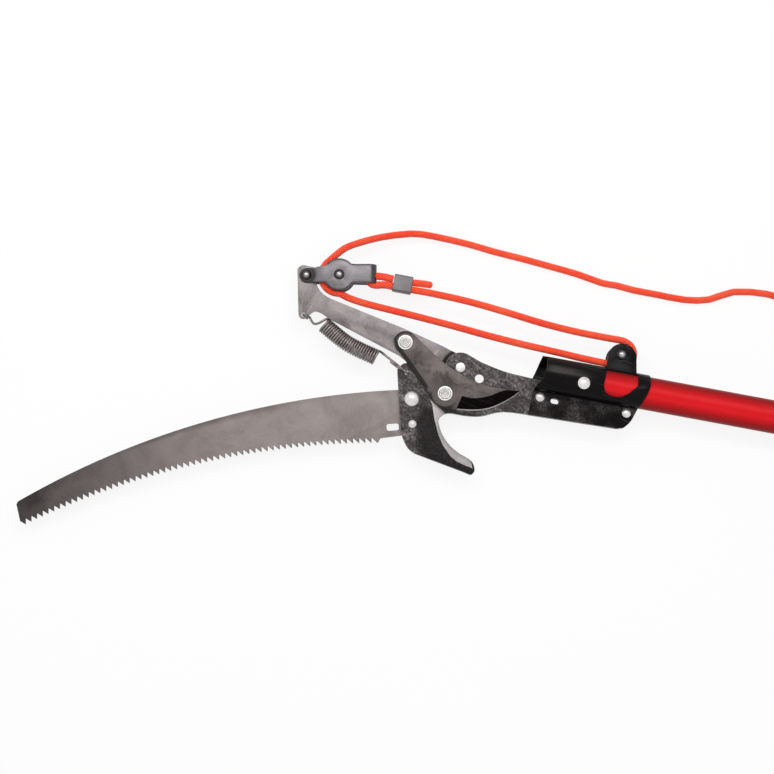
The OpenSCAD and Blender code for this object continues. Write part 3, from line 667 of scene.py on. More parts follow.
def socket_wear_and_highlight(g: Graph) -> Socket:
    """Return where the socket's enamel is rubbed, in patches on its flange, and a painted highlight
    along its back.

    Args:
        g: The material's graph.

    Returns:
        The share of the wear and of the painted highlight at each place, from 0 to 1.
    """
    x, y = g.head()
    patches = g.noise(38, 5, 0.6).between(0.40, 0.66)
    flecks = g.noise(650, 3, 0.85).between(0.36, 0.66)
    flange = patches * flecks * y.between(-15.0, -19.0) * 0.85
    # A painted highlight streak along the socket's back.
    back = (y - 4.7).size().between(5.0, 0.5) * x.between(82.0, 92.0) * x.between(130.0, 104.0)
    return flange.larger(back * (patches * 0.5 + 0.35) * 0.55)


def strap_painted_shade(g: Graph) -> Socket:
    """Return the painted shade on the block's strap: round its pin, at its far fold and at its
    rims.

    Args:
        g: The material's graph.

    Returns:
        The share of the darkening at each place, from 0 to 1.
    """
    x, y = g.head()
    x, y = x - BLOCK_PIN[0], y - BLOCK_PIN[1]
    way = x * 0.983 + y * 0.184
    aside = (y * 0.983 - x * 0.184 - 0.9).size()
    cheek = g.away(*BLOCK_AXLE)
    rim = cheek.between(12.4, 13.9) * aside.between(6.0, 9.0)
    arm = aside.between(6.6, 8.0) * cheek.between(13.0, 15.0) * way.between(5.0, 11.0)
    pin = g.away(*BLOCK_PIN).between(11.0, 7.0) * 0.8
    return pin.larger(way.between(57.6, 60.0) * 0.7).larger(rim.larger(arm) * 0.7)


def ground_shade(g: Graph) -> Socket:
    """Return the hook's ground face growing darker towards its point."""
    _, y = g.head()
    return y.between(-46.0, -90.0) * 0.5


def ring_painted_shade(g: Graph) -> Socket:
    """Return the painted shade in the turned rings of the two big bolt heads.

    Args:
        g: The material's graph.

    Returns:
        The share of the darkening at each place, from 0 to 1.
    """
    away = g.away(*PIVOT).smaller(g.away(*TAIL_PIN))
    rings = (away * 3.9 + 1.0).sine() * 0.5 + 0.5
    return rings.between(0.3, 0.75) * away.between(6.0, 5.0) * 0.62


def dome_painted_shade(g: Graph) -> Socket:
    """Return the painted shade that darkens the domes of the block's pins and the guide wheel's
    rivet outwards from a painted highlight at their centres.
    """
    pins = g.away(*BLOCK_PIN).smaller(g.away(*BLOCK_AXLE))
    return pins.smaller(g.away(*GUIDE_AXLE)).between(0.7, 3.4) * 0.93


def pole_painted_shade(g: Graph) -> Socket:
    """Return the painted shade on the pole's sides."""
    _, y, _ = g.axes()
    return ((y - POLE_Y) * PER_MM + 1.5).size().between(2.0, 15.0)


class Finishes:
    """Every finish of the object."""

    PLATE = WornCoat("plate_black", shade=hook_shade)
    # Lighter rounded rim of the plate: a worn bare edge, lightened further as a painted highlight.
    PLATE_EDGE = Steel("plate_edge", (0.08, 0.072, 0.072), (0.33, 0.30, 0.30), 0.42, 0.5)
    HOOK_GROUND = Steel("hook_ground", srgb(128, 120, 120), srgb(196, 191, 190), 0.42, 0.7, 60, 0.9,
                        0.5, shade=ground_shade)
    # The saw darkens towards its tip and carries painted shade along its back and teeth.
    SAW = Steel("saw_steel", srgb(108, 98, 96), srgb(143, 134, 132), 0.45, 0.8, 30, 0.42, 0.3, 0.3,
                shade=saw_tip_and_painted_shade)
    SAW_GROUND = Steel("saw_ground", srgb(48, 42, 41), srgb(118, 110, 108), 0.36, 0.8, 120, 1.2,
                       0.5)
    # The cutter carries stains, and painted shade along its edges.
    CUTTER = Steel("cutter_worn", srgb(46, 39, 37), srgb(104, 96, 93), 0.42, 0.6, 42, -0.5, 0.2,
                   0.35, shade=cutter_stains_and_painted_shade)
    CUTTER_BLACK = Gloss("cutter_black", (0.0016, 0.0008, 0.0008), 0.34, 0.03, drift=0.4)
    CUTTER_EDGE = Steel("cutter_edge", srgb(96, 90, 88), srgb(168, 162, 160), 0.32, 0.85, 90, 0.3,
                        0.5)
    # The lever carries a painted shadow in the fold beside the plate's nose.
    LEVER = Steel("lever_steel", srgb(62, 56, 56), srgb(152, 145, 144), 0.42, 0.8, 42, -0.36, 0.3,
                  0.35, shade=nose_painted_shadow)
    # Dark rounded edges of the lever and the cutter: painted shade.
    LEVER_EDGE = Steel("lever_edge", srgb(13, 11, 11), srgb(52, 47, 46), 0.36, 0.8, 60)
    ZINC = Steel("zinc_plated", srgb(176, 172, 171), srgb(236, 234, 233), 0.28, 0.85, 120, 0.0, 0.3,
                 0.2)
    # The dull zinc carries painted shade in the bolt heads' turned rings.
    ZINC_DULL = Steel("zinc_dull", srgb(188, 182, 180), srgb(250, 247, 245), 0.30, 0.85, 160, 0.0,
                      0.3, 0.2, shade=ring_painted_shade)
    # On the dark steel and the rivet steel, the light tone is a painted highlight at each dome's
    # centre, and the domes darken outwards with painted shade.
    DARK_STEEL = Steel("dark_steel", (0.10, 0.092, 0.09), (0.60, 0.57, 0.56), 0.24, 0.95, 140, 0.0,
                       0.2, 0.2, shade=dome_painted_shade)
    RIVET = Steel("rivet_steel", (0.09, 0.08, 0.08), (0.85, 0.83, 0.83), 0.2, 0.9, 160, 0.0, 0.2,
                  0.2, shade=dome_painted_shade)
    SPRING = Steel("spring_wire", srgb(32, 27, 26), srgb(156, 147, 145), 0.28, 0.95, 200, 0.0, 0.3,
                   0.2)
    # The strap carries painted shade round its pin, at its far fold and at its rims.
    STRAP = Steel("strap_steel", srgb(70, 67, 71), srgb(132, 127, 130), 0.36, 0.8, 40, 0.18, 0.5,
                  0.4, shade=strap_painted_shade)
    # Dark rounded edges of the strap: painted shade.
    STRAP_EDGE = Steel("strap_edge", srgb(14, 13, 18), srgb(64, 63, 70), 0.3, 0.85)
    FERRULE = Steel("ferrule_metal", srgb(98, 95, 97), srgb(127, 124, 126), 0.45, 0.6, 60, 0.0, 0.2,
                    0.2)
    # Dark rounded edges of the ferrule: painted shade.
    FERRULE_EDGE = Steel("ferrule_edge", srgb(36, 33, 36), srgb(84, 81, 84), 0.4, 0.6)
    # The socket's enamel lightens where it is rubbed on its flange, and with a painted highlight
    # along its back.
    SOCKET = Gloss("socket_black", (0.0020, 0.0011, 0.0011), 0.20, 0.09, 0.00004, 0.5, socket_wear_and_highlight,
                   (0.105, 0.092, 0.092))
    # Lighter rounded rims of the black socket: a painted highlight.
    SOCKET_EDGE = Steel("socket_edge", (0.06, 0.055, 0.056), (0.24, 0.22, 0.22), 0.36, 0.5)
    WHEEL = Moulded("wheel_nylon", (0.05, 0.05, 0.052), 0.42, 700, 0.00008)
    # The pole's sides darken to a deep red as painted shade.
    POLE = Gloss("pole_red", (0.67, 0.0095, 0.0150), 0.26, 0.07, 0.00003, 0.03, pole_painted_shade,
                 (0.23, 0.008, 0.009))
    PLASTIC = Moulded("black_plastic", (0.012, 0.012, 0.013), 0.42, 1100, 0.0001)
    LEVER_RED = Moulded("lever_red", srgb(176, 20, 24), 0.36, 1300, 0.00006)
    FOAM = Moulded("grip_foam", (0.014, 0.014, 0.015), 0.82, 520, 0.0005, 0.15)
    ROPE = Braid("rope_braid", (1.0, 0.080, 0.030), (1.0, 0.46, 0.22), (0.84, 0.014, 0.006))
    WEBBING = Webbing("tie_webbing", (0.02, 0.02, 0.022))


# ---- Modelling ----


def in_scene(name: str, data: bpy.types.ID) -> bpy.types.Object:
    """Return a new object of this data in the scene.

    Args:
        name: The object's name.
        data: Its mesh, camera or lamp.

    Returns:
        The new object.
    """
    made = bpy.data.objects.new(name, data)
    bpy.context.scene.collection.objects.link(made)
    return made


def mesh_object(name: str, mesh: Mesh, dress: Sequence[bpy.types.Material]) -> bpy.types.Object:
    """Return a new object with a mesh and its materials.

    Args:
        name: The object's name.
        mesh: Its mesh, which is freed.
        dress: Its materials, in the order of the faces' numbers.

    Returns:
        The new object.
    """
    data = bpy.data.meshes.new(name)
    mesh.to_mesh(data)
    mesh.free()
    for material in dress:
        data.materials.append(material)
    return in_scene(name, data)


def cad_copy(node: str) -> Mesh:
    """Return a merged copy of a CAD node, with its flat faces made whole.

    Args:
        node: The name of the CAD node.

    Returns:
        The copy, with every face's number at 0.
    """
    mesh = bmesh.new()
    mesh.from_mesh(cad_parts[node].data)
    bmesh.ops.remove_doubles(mesh, verts=mesh.verts, dist=3 * WELD)
    bmesh.ops.dissolve_limit(mesh, angle_limit=math.radians(0.8), verts=mesh.verts,
                             edges=mesh.edges)
    for face in mesh.faces:
        face.material_index = 0
    return mesh


def soften(mesh: Mesh, width: float, segments: int, sharper: float, index: int | None) -> None:
    """Round a mesh's sharp edges.

    Args:
        mesh: The mesh.
        width: Width of the rounding, in millimetres.
        segments: Steps across it.
        sharper: Only edges that turn by more than this many degrees are rounded.
        index: Material number for the new faces, if they get one of their own.
    """
    limit = math.radians(sharper)
    edges = [e for e in mesh.edges if len(e.link_faces) == 2 and e.calc_face_angle(0.0) > limit]
    made = bmesh.ops.bevel(mesh, geom=edges, offset=width * MM, offset_type="OFFSET",
                           segments=segments, profile=0.5, affect="EDGES", clamp_overlap=True,
                           material=-1)
    if index is not None:
        for face in made["faces"]:
            face.material_index = index


def smooth_line(points: Sequence[Vector], steps: int) -> list[Vector]:
    """Return a smooth curve through points.

    Args:
        points: What the curve runs through.
        steps: Steps between two points.

    Returns:
        The points of the curve.
    """
    def knot(i: int) -> Vector:
        """Return a point, or the nearer end past the ends."""
        return points[max(0, min(len(points) - 1, i))]
    line = []
    for i in range(len(points) - 1):
        a, b, c, d = knot(i - 1), knot(i), knot(i + 1), knot(i + 2)
        for k in range(steps):
            t = k / steps
            line.append(0.5 * (2 * b + (c - a) * t + (2 * a - 5 * b + 4 * c - d) * t * t
                               + (3 * b - a - 3 * c + d) * t * t * t))
    return [*line, points[-1].copy()]


def line_length(line: Sequence[Vector]) -> float:
    """Return the length of a line."""
    return sum((b - a).length for a, b in zip(line, line[1:]))


def evenly(line: Sequence[Vector], step: float) -> list[Vector]:
    """Return points along a line that are the same distance apart.

    Args:
        line: The points of the line.
        step: About how far apart the new ones are, in metres.

    Returns:
        The new points, with both ends.
    """
    total = line_length(line)
    count = max(2, round(total / step))
    made, i, walked = [], 0, 0.0
    for k in range(count + 1):
        goal = total * k / count
        while i < len(line) - 2 and walked + (line[i + 1] - line[i]).length < goal:
            walked += (line[i + 1] - line[i]).length
            i += 1
        stretch = (line[i + 1] - line[i]).length or 1.0
        made.append(line[i].lerp(line[i + 1], min(1.0, (goal - walked) / stretch)))
    return made


def along(line: Sequence[Vector]) -> list[Matrix]:
    """Return a frame at each point of a line, Z along it, that doesn't twist.

    Args:
        line: The points of the line.

    Returns:
        A matrix for each point.
    """
    frames: list[Matrix] = []
    side = Vector((0, 0, 1))
    for i, point in enumerate(line):
        tangent = (line[min(i + 1, len(line) - 1)] - line[max(i - 1, 0)]).normalized()
        if abs(tangent.dot(side)) > 0.999:
            side = Vector((0, 1, 0))
        side = (side - tangent * side.dot(tangent)).normalized()
        turned_to = Matrix((side, tangent.cross(side), tangent)).transposed().to_4x4()
        frames.append(Matrix.Translation(point) @ turned_to)
    return frames


def tube(line: Sequence[Vector], radius: Callable[[float, float], float], sides: int) -> Mesh:
    """Return a closed tube along a line.

    Args:
        line: The points of its centre line.
        radius: Radius for a share of a turn round it and a distance along it.
        sides: Number of sides.

    Returns:
        A mesh with a UV map of turns round and metres along.
    """
    mesh = bmesh.new()
    uv = mesh.loops.layers.uv.new("UVMap")
    last = len(line) - 1
    bmesh.ops.create_grid(mesh, x_segments=sides, y_segments=last, size=0.5, calc_uvs=True)
    frames = along(line)
    walked = [0.0]
    for a, b in zip(line, line[1:]):
        walked.append(walked[-1] + (b - a).length)
    for vert in mesh.verts:
        share, row = vert.co.x + 0.5, round((vert.co.y + 0.5) * last)
        for loop in vert.link_loops:
            loop[uv].uv = (share, walked[row])
        size = radius(share % 1.0, walked[row])
        angle = -math.tau * share
        vert.co = frames[row] @ Vector((size * math.cos(angle), size * math.sin(angle), 0))
    bmesh.ops.remove_doubles(mesh, verts=mesh.verts, dist=WELD)
    bmesh.ops.holes_fill(mesh, edges=[e for e in mesh.edges if e.is_boundary], sides=0)
    bmesh.ops.recalc_face_normals(mesh, faces=mesh.faces)
    return mesh


def turned(profile: Sequence[Point], centre: Vector, axis: Vector, steps: int) -> Mesh:
    """Return a solid turned on a lathe.

    Args:
        profile: Pairs of radius and height, in millimetres, from the axis out and back to it.
        centre: Where height 0 lies.
        axis: The direction of height.
        steps: Steps round it.

    Returns:
        The closed mesh.
    """
    mesh = bmesh.new()
    verts = [mesh.verts.new((r * MM, 0, z * MM)) for r, z in profile]
    edges = [mesh.edges.new(pair) for pair in zip(verts, verts[1:])]
    bmesh.ops.spin(mesh, geom=[*verts, *edges], cent=(0, 0, 0), axis=(0, 0, 1),
                   angle=math.tau, steps=steps, use_merge=True)
    bmesh.ops.remove_doubles(mesh, verts=mesh.verts, dist=WELD)
    bmesh.ops.recalc_face_normals(mesh, faces=mesh.faces)
    turn = UP.rotation_difference(axis).to_matrix().to_4x4()
    bmesh.ops.transform(mesh, matrix=Matrix.Translation(centre) @ turn, verts=mesh.verts)
    return mesh


def ground_bevel(mesh: Mesh, top: float, chosen: Callable[[Vector], bool],
                 target: Callable[[Vector], Vector], edge_z: float,
                 rings: Sequence[tuple[float, float, int]]) -> None:
    """Grind a bevel along part of a plate's top edge.

    Args:
        mesh: A merged copy of the plate, changed in place.
        top: Height of its top face.
        chosen: Whether a point on the top face's rim is ground.
        target: Where the bevel reaches on the top face, for a point of the rim.
        edge_z: Height of the ground rim.
        rings: For each line of the bevel, its distance in from the rim (or 0 for all the way),
            its height and its faces' material number. All are in metres.
    """
    flat = [f for f in mesh.faces
            if f.normal.z > 0.99 and abs(f.calc_center_median().z - top) < 10 * WELD]
    bmesh.ops.delete(mesh, geom=flat, context="FACES_ONLY")
    loose = [e for e in mesh.edges if not e.link_faces]
    bmesh.ops.delete(mesh, geom=loose, context="EDGES")
    rim = [e for e in mesh.edges if e.is_boundary]
    line = [e for e in rim if all(chosen(v.co) for v in e.verts)]
    ground = set(line)
    ends = {v for e in rim if e not in ground for v in e.verts}
    plan = {v: (v.co.copy(), target(v.co)) for e in line for v in e.verts if v not in ends}
    for vert in plan:
        vert.co.z = edge_z
    for inward, height, number in rings:
        known = {vert.co.to_tuple(7): spans for vert, spans in plan.items()}
        made = bmesh.ops.extrude_edge_only(mesh, edges=line)["geom"]
        verts = [v for v in made if isinstance(v, bmesh.types.BMVert)]
        line = [e for e in made if isinstance(e, bmesh.types.BMEdge) and e.is_boundary
                and all(v in verts for v in e.verts)]
        plan = {}
        for vert in verts:
            spans = known.get(vert.co.to_tuple(7))
            if spans:
                start, goal = spans
                share = min(1.0, inward / (goal - start).length) if inward else 1.0
                vert.co = start.lerp(goal, share)
                vert.co.z = height
                plan[vert] = spans
        for face in (f for f in made if isinstance(f, bmesh.types.BMFace)):
            face.material_index = number
    bmesh.ops.remove_doubles(mesh, verts=mesh.verts, dist=WELD)
    bmesh.ops.triangle_fill(mesh, edges=[e for e in mesh.edges if e.is_boundary],
                            use_beauty=True, use_dissolve=False, normal=UP)
    bmesh.ops.recalc_face_normals(mesh, faces=mesh.faces)


def on_line(points: Sequence[Point], x: float) -> float:
    """Return the height of a broken line at x.

    Args:
        points: The corners of the line, by rising x.
        x: Where it is read.

    Returns:
        The height there.
    """
    for (x0, y0), (x1, y1) in zip(points, points[1:]):
        if x <= x1:
            return y0 + (y1 - y0) * max(0.0, (x - x0) / (x1 - x0))
    return points[-1][1]


def piece(name: str, mesh: Mesh, body: Body | None, dress: Sequence[Finish],
          replaces: Iterable[str] = (), crease: float = 32.0) -> bpy.types.Object:
    """Make a piece of a finished mesh.

    Args:
        name: The piece's name.
        mesh: Its mesh in the part's frame, which is freed.
        body: The body it rides on, or None for one that rides on none.
        dress: Its finishes, in the order of the faces' numbers.
        replaces: CAD nodes that it stands for.
        crease: Edges sharper than this many degrees stay sharp.

    Returns:
        The new object.
    """
    made = mesh_object(name, mesh, [finish.made() for finish in dress])
    made.data.shade_smooth()
    made.data.set_sharp_from_angle(angle=math.radians(crease))
    if body:
        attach(made, body.value)
    if replaces:
        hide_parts(*replaces)
    LOG.info("%s: %d faces", name, len(made.data.polygons))
    return made


def softened(node: str, name: str, body: Body, dress: Sequence[Finish], slot: str, width: float,
             sharper: float = 40.0, segments: int = 2) -> bpy.types.Object:
    """Make a piece that is a CAD node with rounded edges.

    Args:
        node: The CAD node, which it stands for.
        name: The piece's name.
        body: The body it rides on.
        dress: Its finish, and a second one if its rounded edges have their own.
        slot: Not used.
        width: Width of the rounding, in millimetres.
        sharper: Only edges that turn by more than this many degrees are rounded.
        segments: Steps across the rounding.

    Returns:
        The new object.
    """
    mesh = cad_copy(node)
    soften(mesh, width, segments, sharper, 1 if len(dress) > 1 else None)
    return piece(name, mesh, body, dress, [node])


def ringed_bolt(node: str, body: Body, place: Point, shank: Point, seat: float, top: float,
                extra: Sequence[Point] = ()) -> None:
    """Make a bolt whose flat head has turned rings.

    Args:
        node: The CAD node that it stands for.
        body: The body it rides on.
        place: Its axis in the head's drawing.
        shank: Radius and lowest height of its shank.
        seat: Height of the underside of its head.
        top: Height of the top of its head.
        extra: Further profile points between the shank's end and the shank.
    """
    r, low = shank
    rim = ((6.3, 0.0), (6.7, 0.35), (6.7, 0.95), (6.35, 1.25), (5.5, 1.3))
    rings = ((5.2, 0.75), (4.95, 0.35), (4.4, 0.3), (4.1, 0.75), (3.5, 0.75), (3.2, 0.3),
             (2.6, 0.15), (2.3, 0.7), (1.8, 0.75), (1.5, 0.2), (0.9, 0.0), (0.55, 0.45),
             (0, 0.5))
    profile = [(0, low), (r - 0.4, low), (r, low + 0.4), *extra, (r, seat),
               *((out, seat + rise) for out, rise in rim),
               *((out, top - drop) for out, drop in rings)]
    mesh = turned(profile, at_head(*place), UP, 48)
    piece(node + "_turned", mesh, body, [Finishes.ZINC_DULL], [node], 50)


def domed_rivet(node: str, body: Body, finish: Finish, shank_r: float) -> None:
    """Make a rivet with two smooth domed heads.

    Args:
        node: The CAD node that it stands for, whose box gives its place and its size.
        body: The body it rides on.
        finish: Its finish.
        shank_r: Radius of its shank.
    """
    head_h = 2.6
    low, high = (Vector(corner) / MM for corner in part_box(node))
    head_r = (high.x - low.x) / 2
    ball = (head_r ** 2 + head_h ** 2) / (2 * head_h)
    steep = math.asin(min(1.0, head_r / ball))
    cap = [(ball * math.sin(steep * k / 10), ball * (1 - math.cos(steep * k / 10)))
           for k in range(11)]
    profile = [*((r, low.z + drop) for r, drop in cap), (shank_r, low.z + head_h),
               (shank_r, high.z - head_h), *((r, high.z - drop) for r, drop in reversed(cap))]
    centre = Vector(((low.x + high.x) / 2, (low.y + high.y) / 2, 0)) * MM
    mesh = turned(profile, centre, UP, 40)
    piece(node + "_domed", mesh, body, [finish], [node], 50)


# ---- Head ----


@dataclass
class HeadPlate:
    """The hook plate with the saw, its bolts and nuts."""

    top: float = 2.0
    hook_centre: Point = (25.0, -70.0)
    hook_inner: tuple[Point, ...] = (
        (38.2, -97.0), (36.1, -95.1), (24.4, -93.6), (15.0, -88.5), (5.6, -78.8), (0.1, -69.8),
        (-5.2, -57.9), (-9.6, -45.0), (-12.0, -38.0))
    throat_x: float = -1.6
    throat_low: float = -93.2
    throat_lean: float = 0.12
    throat_high: float = -50.45
    ground_z: float = 0.3
    edge: float = 0.45

    def build(self) -> None:
        """Make the plate, the saw and the fasteners."""
        mesh = cad_copy("hook_frame")
        ground_bevel(mesh, self.top * MM, self._in_throat, self._ray, self.ground_z * MM,
                     [(0.0, self.top * MM, 1)])
        soften(mesh, self.edge, 2, 40, 2)
        piece("hook_plate", mesh, Body.HEAD,
              [Finishes.PLATE, Finishes.HOOK_GROUND, Finishes.PLATE_EDGE],
              ["hook_frame"])
        softened("saw_blade", "saw", Body.HEAD, [Finishes.SAW, Finishes.SAW_GROUND], "saw_steel",
                 0.3, segments=1)
        for node in ("saw_bolt", "saw_screw", "saw_bolt_nut", "saw_screw_nut", "pivot_nut",
                     "lever_rivet"):
            softened(node, node + "_worn", Body.HEAD, [Finishes.ZINC], "zinc", 0.25, 30)
        ringed_bolt("pivot_bolt", Body.HEAD, PIVOT, (4.0, -8.8), 5.8, 8.8)

    def _ray(self, place: Vector) -> Vector:
        """Return where the line from the hook's middle through a place meets the inner line.

        Args:
            place: A place on the rim of the top face.

        Returns:
            The crossing, or a copy of the place if there is none.
        """
        centre = at_head(*self.hook_centre, self.top)
        ray = (place - centre).to_2d()
        for a, b in zip(self.hook_inner, self.hook_inner[1:]):
            start = at_head(*a).to_2d() - centre.to_2d()
            side = at_head(*b).to_2d() - at_head(*a).to_2d()
            across = ray.x * side.y - ray.y * side.x
            if abs(across) < 1e-12:
                continue
            share = (start.x * side.y - start.y * side.x) / across
            spot = (start.x * ray.y - start.y * ray.x) / across
            if share > 1.0 and 0.0 <= spot <= 1.0:
                return Vector((centre.x + ray.x * share, centre.y + ray.y * share, self.top * MM))
        return place.copy()

    def _in_throat(self, place: Vector) -> bool:
        """Return whether a rim point lies in the hook's throat.

        Args:
            place: A place on the rim of the top face.

        Returns:
            Whether it is ground.
        """
        x, y = (place.x - HEAD_X) / MM, place.y / MM
        low = self.throat_low - self.throat_lean * x
        return x > self.throat_x and low < y < self.throat_high and self._ray(place) != place


@dataclass
class Pruner:
    """The cutter, its lever and the return spring."""

    top: float = 5.5
    first_x: float = 12.9
    outline_x: Point = (12.2, 66.2)
    inner: tuple[Point, ...] = ((14.5, -33.6), (20.2, -34.3), (30.2, -32.8), (40.4, -28.6),
                                (48.8, -22.9), (54.0, -20.6), (65.9, -19.6))
    edge_high: float = -21.0
    tip_x: float = 62.0
    tip_high: float = -19.3
    edge_z: float = 2.7
    hone: Point = (1.2, 3.2)
    rim: float = 1.2
    spring_hole: Point = (-138.7, 13.8)
    spring_start: Point = (-118.9, 8.2)
    spring_middle: Point = (-94.6, -4.9)
    spring_end: Point = (-66.7, -12.6)
    spring_eye: Point = (-37.4, -21.0)
    turns: int = 24
    coil_r: float = 6.5
    coil_steps: int = 26
    wire_r: float = 1.12
    wire_step: float = 1.1

    def build(self) -> None:
        """Make the moving steel parts."""
        mesh = cad_copy("cutter_blade")
        bmesh.ops.bisect_plane(mesh, geom=[*mesh.verts, *mesh.edges, *mesh.faces],
                               plane_co=at_head(self.first_x, 0.0), plane_no=(1, 0, 0))
        ground_bevel(mesh, self.top * MM, self._on_edge, self._inward, self.edge_z * MM,
                     [(self.hone[0] * MM, self.hone[1] * MM, 2), (0.0, self.top * MM, 1)])
        # The cutter's rounded rim takes the dark edge finish, which is painted shade.
        soften(mesh, self.rim, 2, 50, 3)
        piece("cutter", mesh, Body.CUTTER,
              [Finishes.CUTTER, Finishes.CUTTER_BLACK, Finishes.CUTTER_EDGE, Finishes.LEVER_EDGE],
              ["cutter_blade"])
        softened("lever_arm", "lever", Body.LEVER, [Finishes.LEVER, Finishes.LEVER_EDGE],
                 "lever_steel", self.rim)
        ringed_bolt("tail_pin", Body.CUTTER, TAIL_PIN, (4.4, -3.5), 5.5, 8.5,
                    [(4.4, -1.9), (2.46, -1.9)])
        self._spring()

    def _on_edge(self, place: Vector) -> bool:
        """Return whether a rim point belongs to the cutting edge.

        Args:
            place: A place on the rim of the top face.

        Returns:
            Whether it is ground.
        """
        x, y = (place.x - HEAD_X) / MM, place.y / MM
        high = self.tip_high if x > self.tip_x else self.edge_high
        return x > self.outline_x[0] - 0.5 and y < high

    def _inward(self, place: Vector) -> Vector:
        """Return where the bevel above a point of the cutting edge ends.

        Args:
            place: A place on the cutting edge.

        Returns:
            The place on the top face.
        """
        first, last = self.outline_x
        share = min(1.0, max(0.0, ((place.x - HEAD_X) / MM - first) / (last - first)))
        x = self.inner[0][0] + share * (self.inner[-1][0] - self.inner[0][0])
        return at_head(x, on_line(self.inner, x), self.top)

    def _spring(self) -> None:
        """Make the spring: a hook through the lever, a close bowed coil and a hook in the plate."""
        start, end = at_head(*self.spring_start), at_head(*self.spring_end)
        hole, eye = at_head(*self.spring_hole), at_head(*self.spring_eye)
        core = evenly(smooth_line([start, at_head(*self.spring_middle), end], 12),
                      line_length([start, end]) / (self.turns * self.coil_steps))
        axis = (end - start).normalized()
        side = Vector((-axis.y, axis.x, 0))

        def near(base: Vector, onward: float, aside: float, above: float) -> Vector:
            """Return a place this many millimetres from another, by the coil's own axes."""
            return base + (axis * onward + side * aside + UP * above) * MM

        line = []
        for k in range(15):
            angle = math.radians(-60 - k * 21)
            line.append(near(hole, 3.1 + 3.3 * math.cos(angle), 0.11 * k - 0.8,
                             3.3 * math.sin(angle)))
        line += [near(hole.lerp(start, share), 0, aside, above) for share, aside, above in (
            (0.42, -1.6, 1.6), (0.62, -3.4, -0.6), (0.80, -0.6, 1.2), (0.93, 4.4, 1.6))]
        frames = along(core)
        for k, here in enumerate(frames):
            turn = math.tau * self.turns * k / (len(frames) - 1) + math.pi / 2
            out = Vector((math.cos(turn), -math.sin(turn), 0))
            line.append(here @ (out * self.coil_r * MM))
        line += [near(end.lerp(eye, share), 0, aside, above) for share, aside, above in (
            (0.07, 6.0, 2.0), (0.16, 5.2, 3.0), (0.45, 3.3, 3.4), (0.75, 1.4, 3.6))]
        for k in range(12):
            angle = math.radians(100 - k * 24)
            line.append(near(eye, 3.2 * math.cos(angle) - 1.6, 0, 3.4 * math.sin(angle)))
        line += [near(eye, -7.0, -0.6, 2.9), near(eye, -12.5, -0.3, 3.4),
                 near(eye, -17.5, 0.2, 3.6)]
        curve = evenly(smooth_line(line, 2), self.wire_step * MM)
        mesh = tube(curve, lambda share, way: self.wire_r * MM, 10)
        spring = piece("spring", mesh, None, [Finishes.SPRING],
                       ["return_spring"], 60)
        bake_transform(spring)


# ---- Rope ----


@dataclass
class Rope:
    """Makes lengths of braided rope."""

    radius: float = 3.2
    lobes: int = 4
    pitch: float = 13.0
    relief: float = 0.13
    step: float = 2.6
    sides: int = 20
    round_end: float = 0.0

    def length(self, name: str, points: Sequence[Vector], body: Body | None,
               replaces: Iterable[str] = (), smooth: int = 6, step: float | None = None,
               sides: int | None = None) -> tuple[bpy.types.Object, list[Vector]]:
        """Make one length of rope.

        Args:
            name: The piece's name.
            points: What its centre line runs through.
            body: The body it rides on, if it rides on one.
            replaces: CAD nodes that it stands for.
            smooth: Steps of the smooth curve between points.
            step: Distance between its rings, in millimetres.
            sides: Sides of its section.

        Returns:
            The piece and the points of its centre line.
        """
        line = evenly(smooth_line(points, smooth), (step or self.step) * MM)
        total = line_length(line)

        def surface(share: float, way: float) -> float:
            """Return the radius, drawn in towards a rounded end.

            Args:
                share: The share of a turn round it.
                way: The distance along it, in metres.

            Returns:
                The radius, in metres.
            """
            left = (total - way) / (self.round_end * MM) if self.round_end else 1.0
            past = max(0.0, 1.0 - left)
            return self._surface(share, way) * max(0.05, math.sqrt(1.0 - past * past))

        mesh = tube(line, surface, sides or self.sides)
        made = piece(name, mesh, body, [Finishes.ROPE], replaces, 80)
        LOG.info("%s: %.3f m of rope", name, total)
        return made, line

    def _surface(self, share: float, way: float) -> float:
        """Return the rope's radius at a share of a turn and a distance along it.

        Args:
            share: The share of a turn round it.
            way: The distance along it, in metres.

        Returns:
            The radius, in metres.
        """
        around, onward = self.lobes * share, way / (self.pitch * MM)
        one, two = math.cos(math.tau * (around + onward)), math.cos(math.tau * (around - onward))
        return (self.radius + self.relief * one * two - self.relief * 0.3) * MM


def arc_points(centre: Vector, radius: float, start: float, end: float, count: int) -> list[Vector]:
    """Return points on an arc in a level plane, between two angles in degrees."""
    return [centre + direction(start + (end - start) * k / count) * radius
            for k in range(count + 1)]


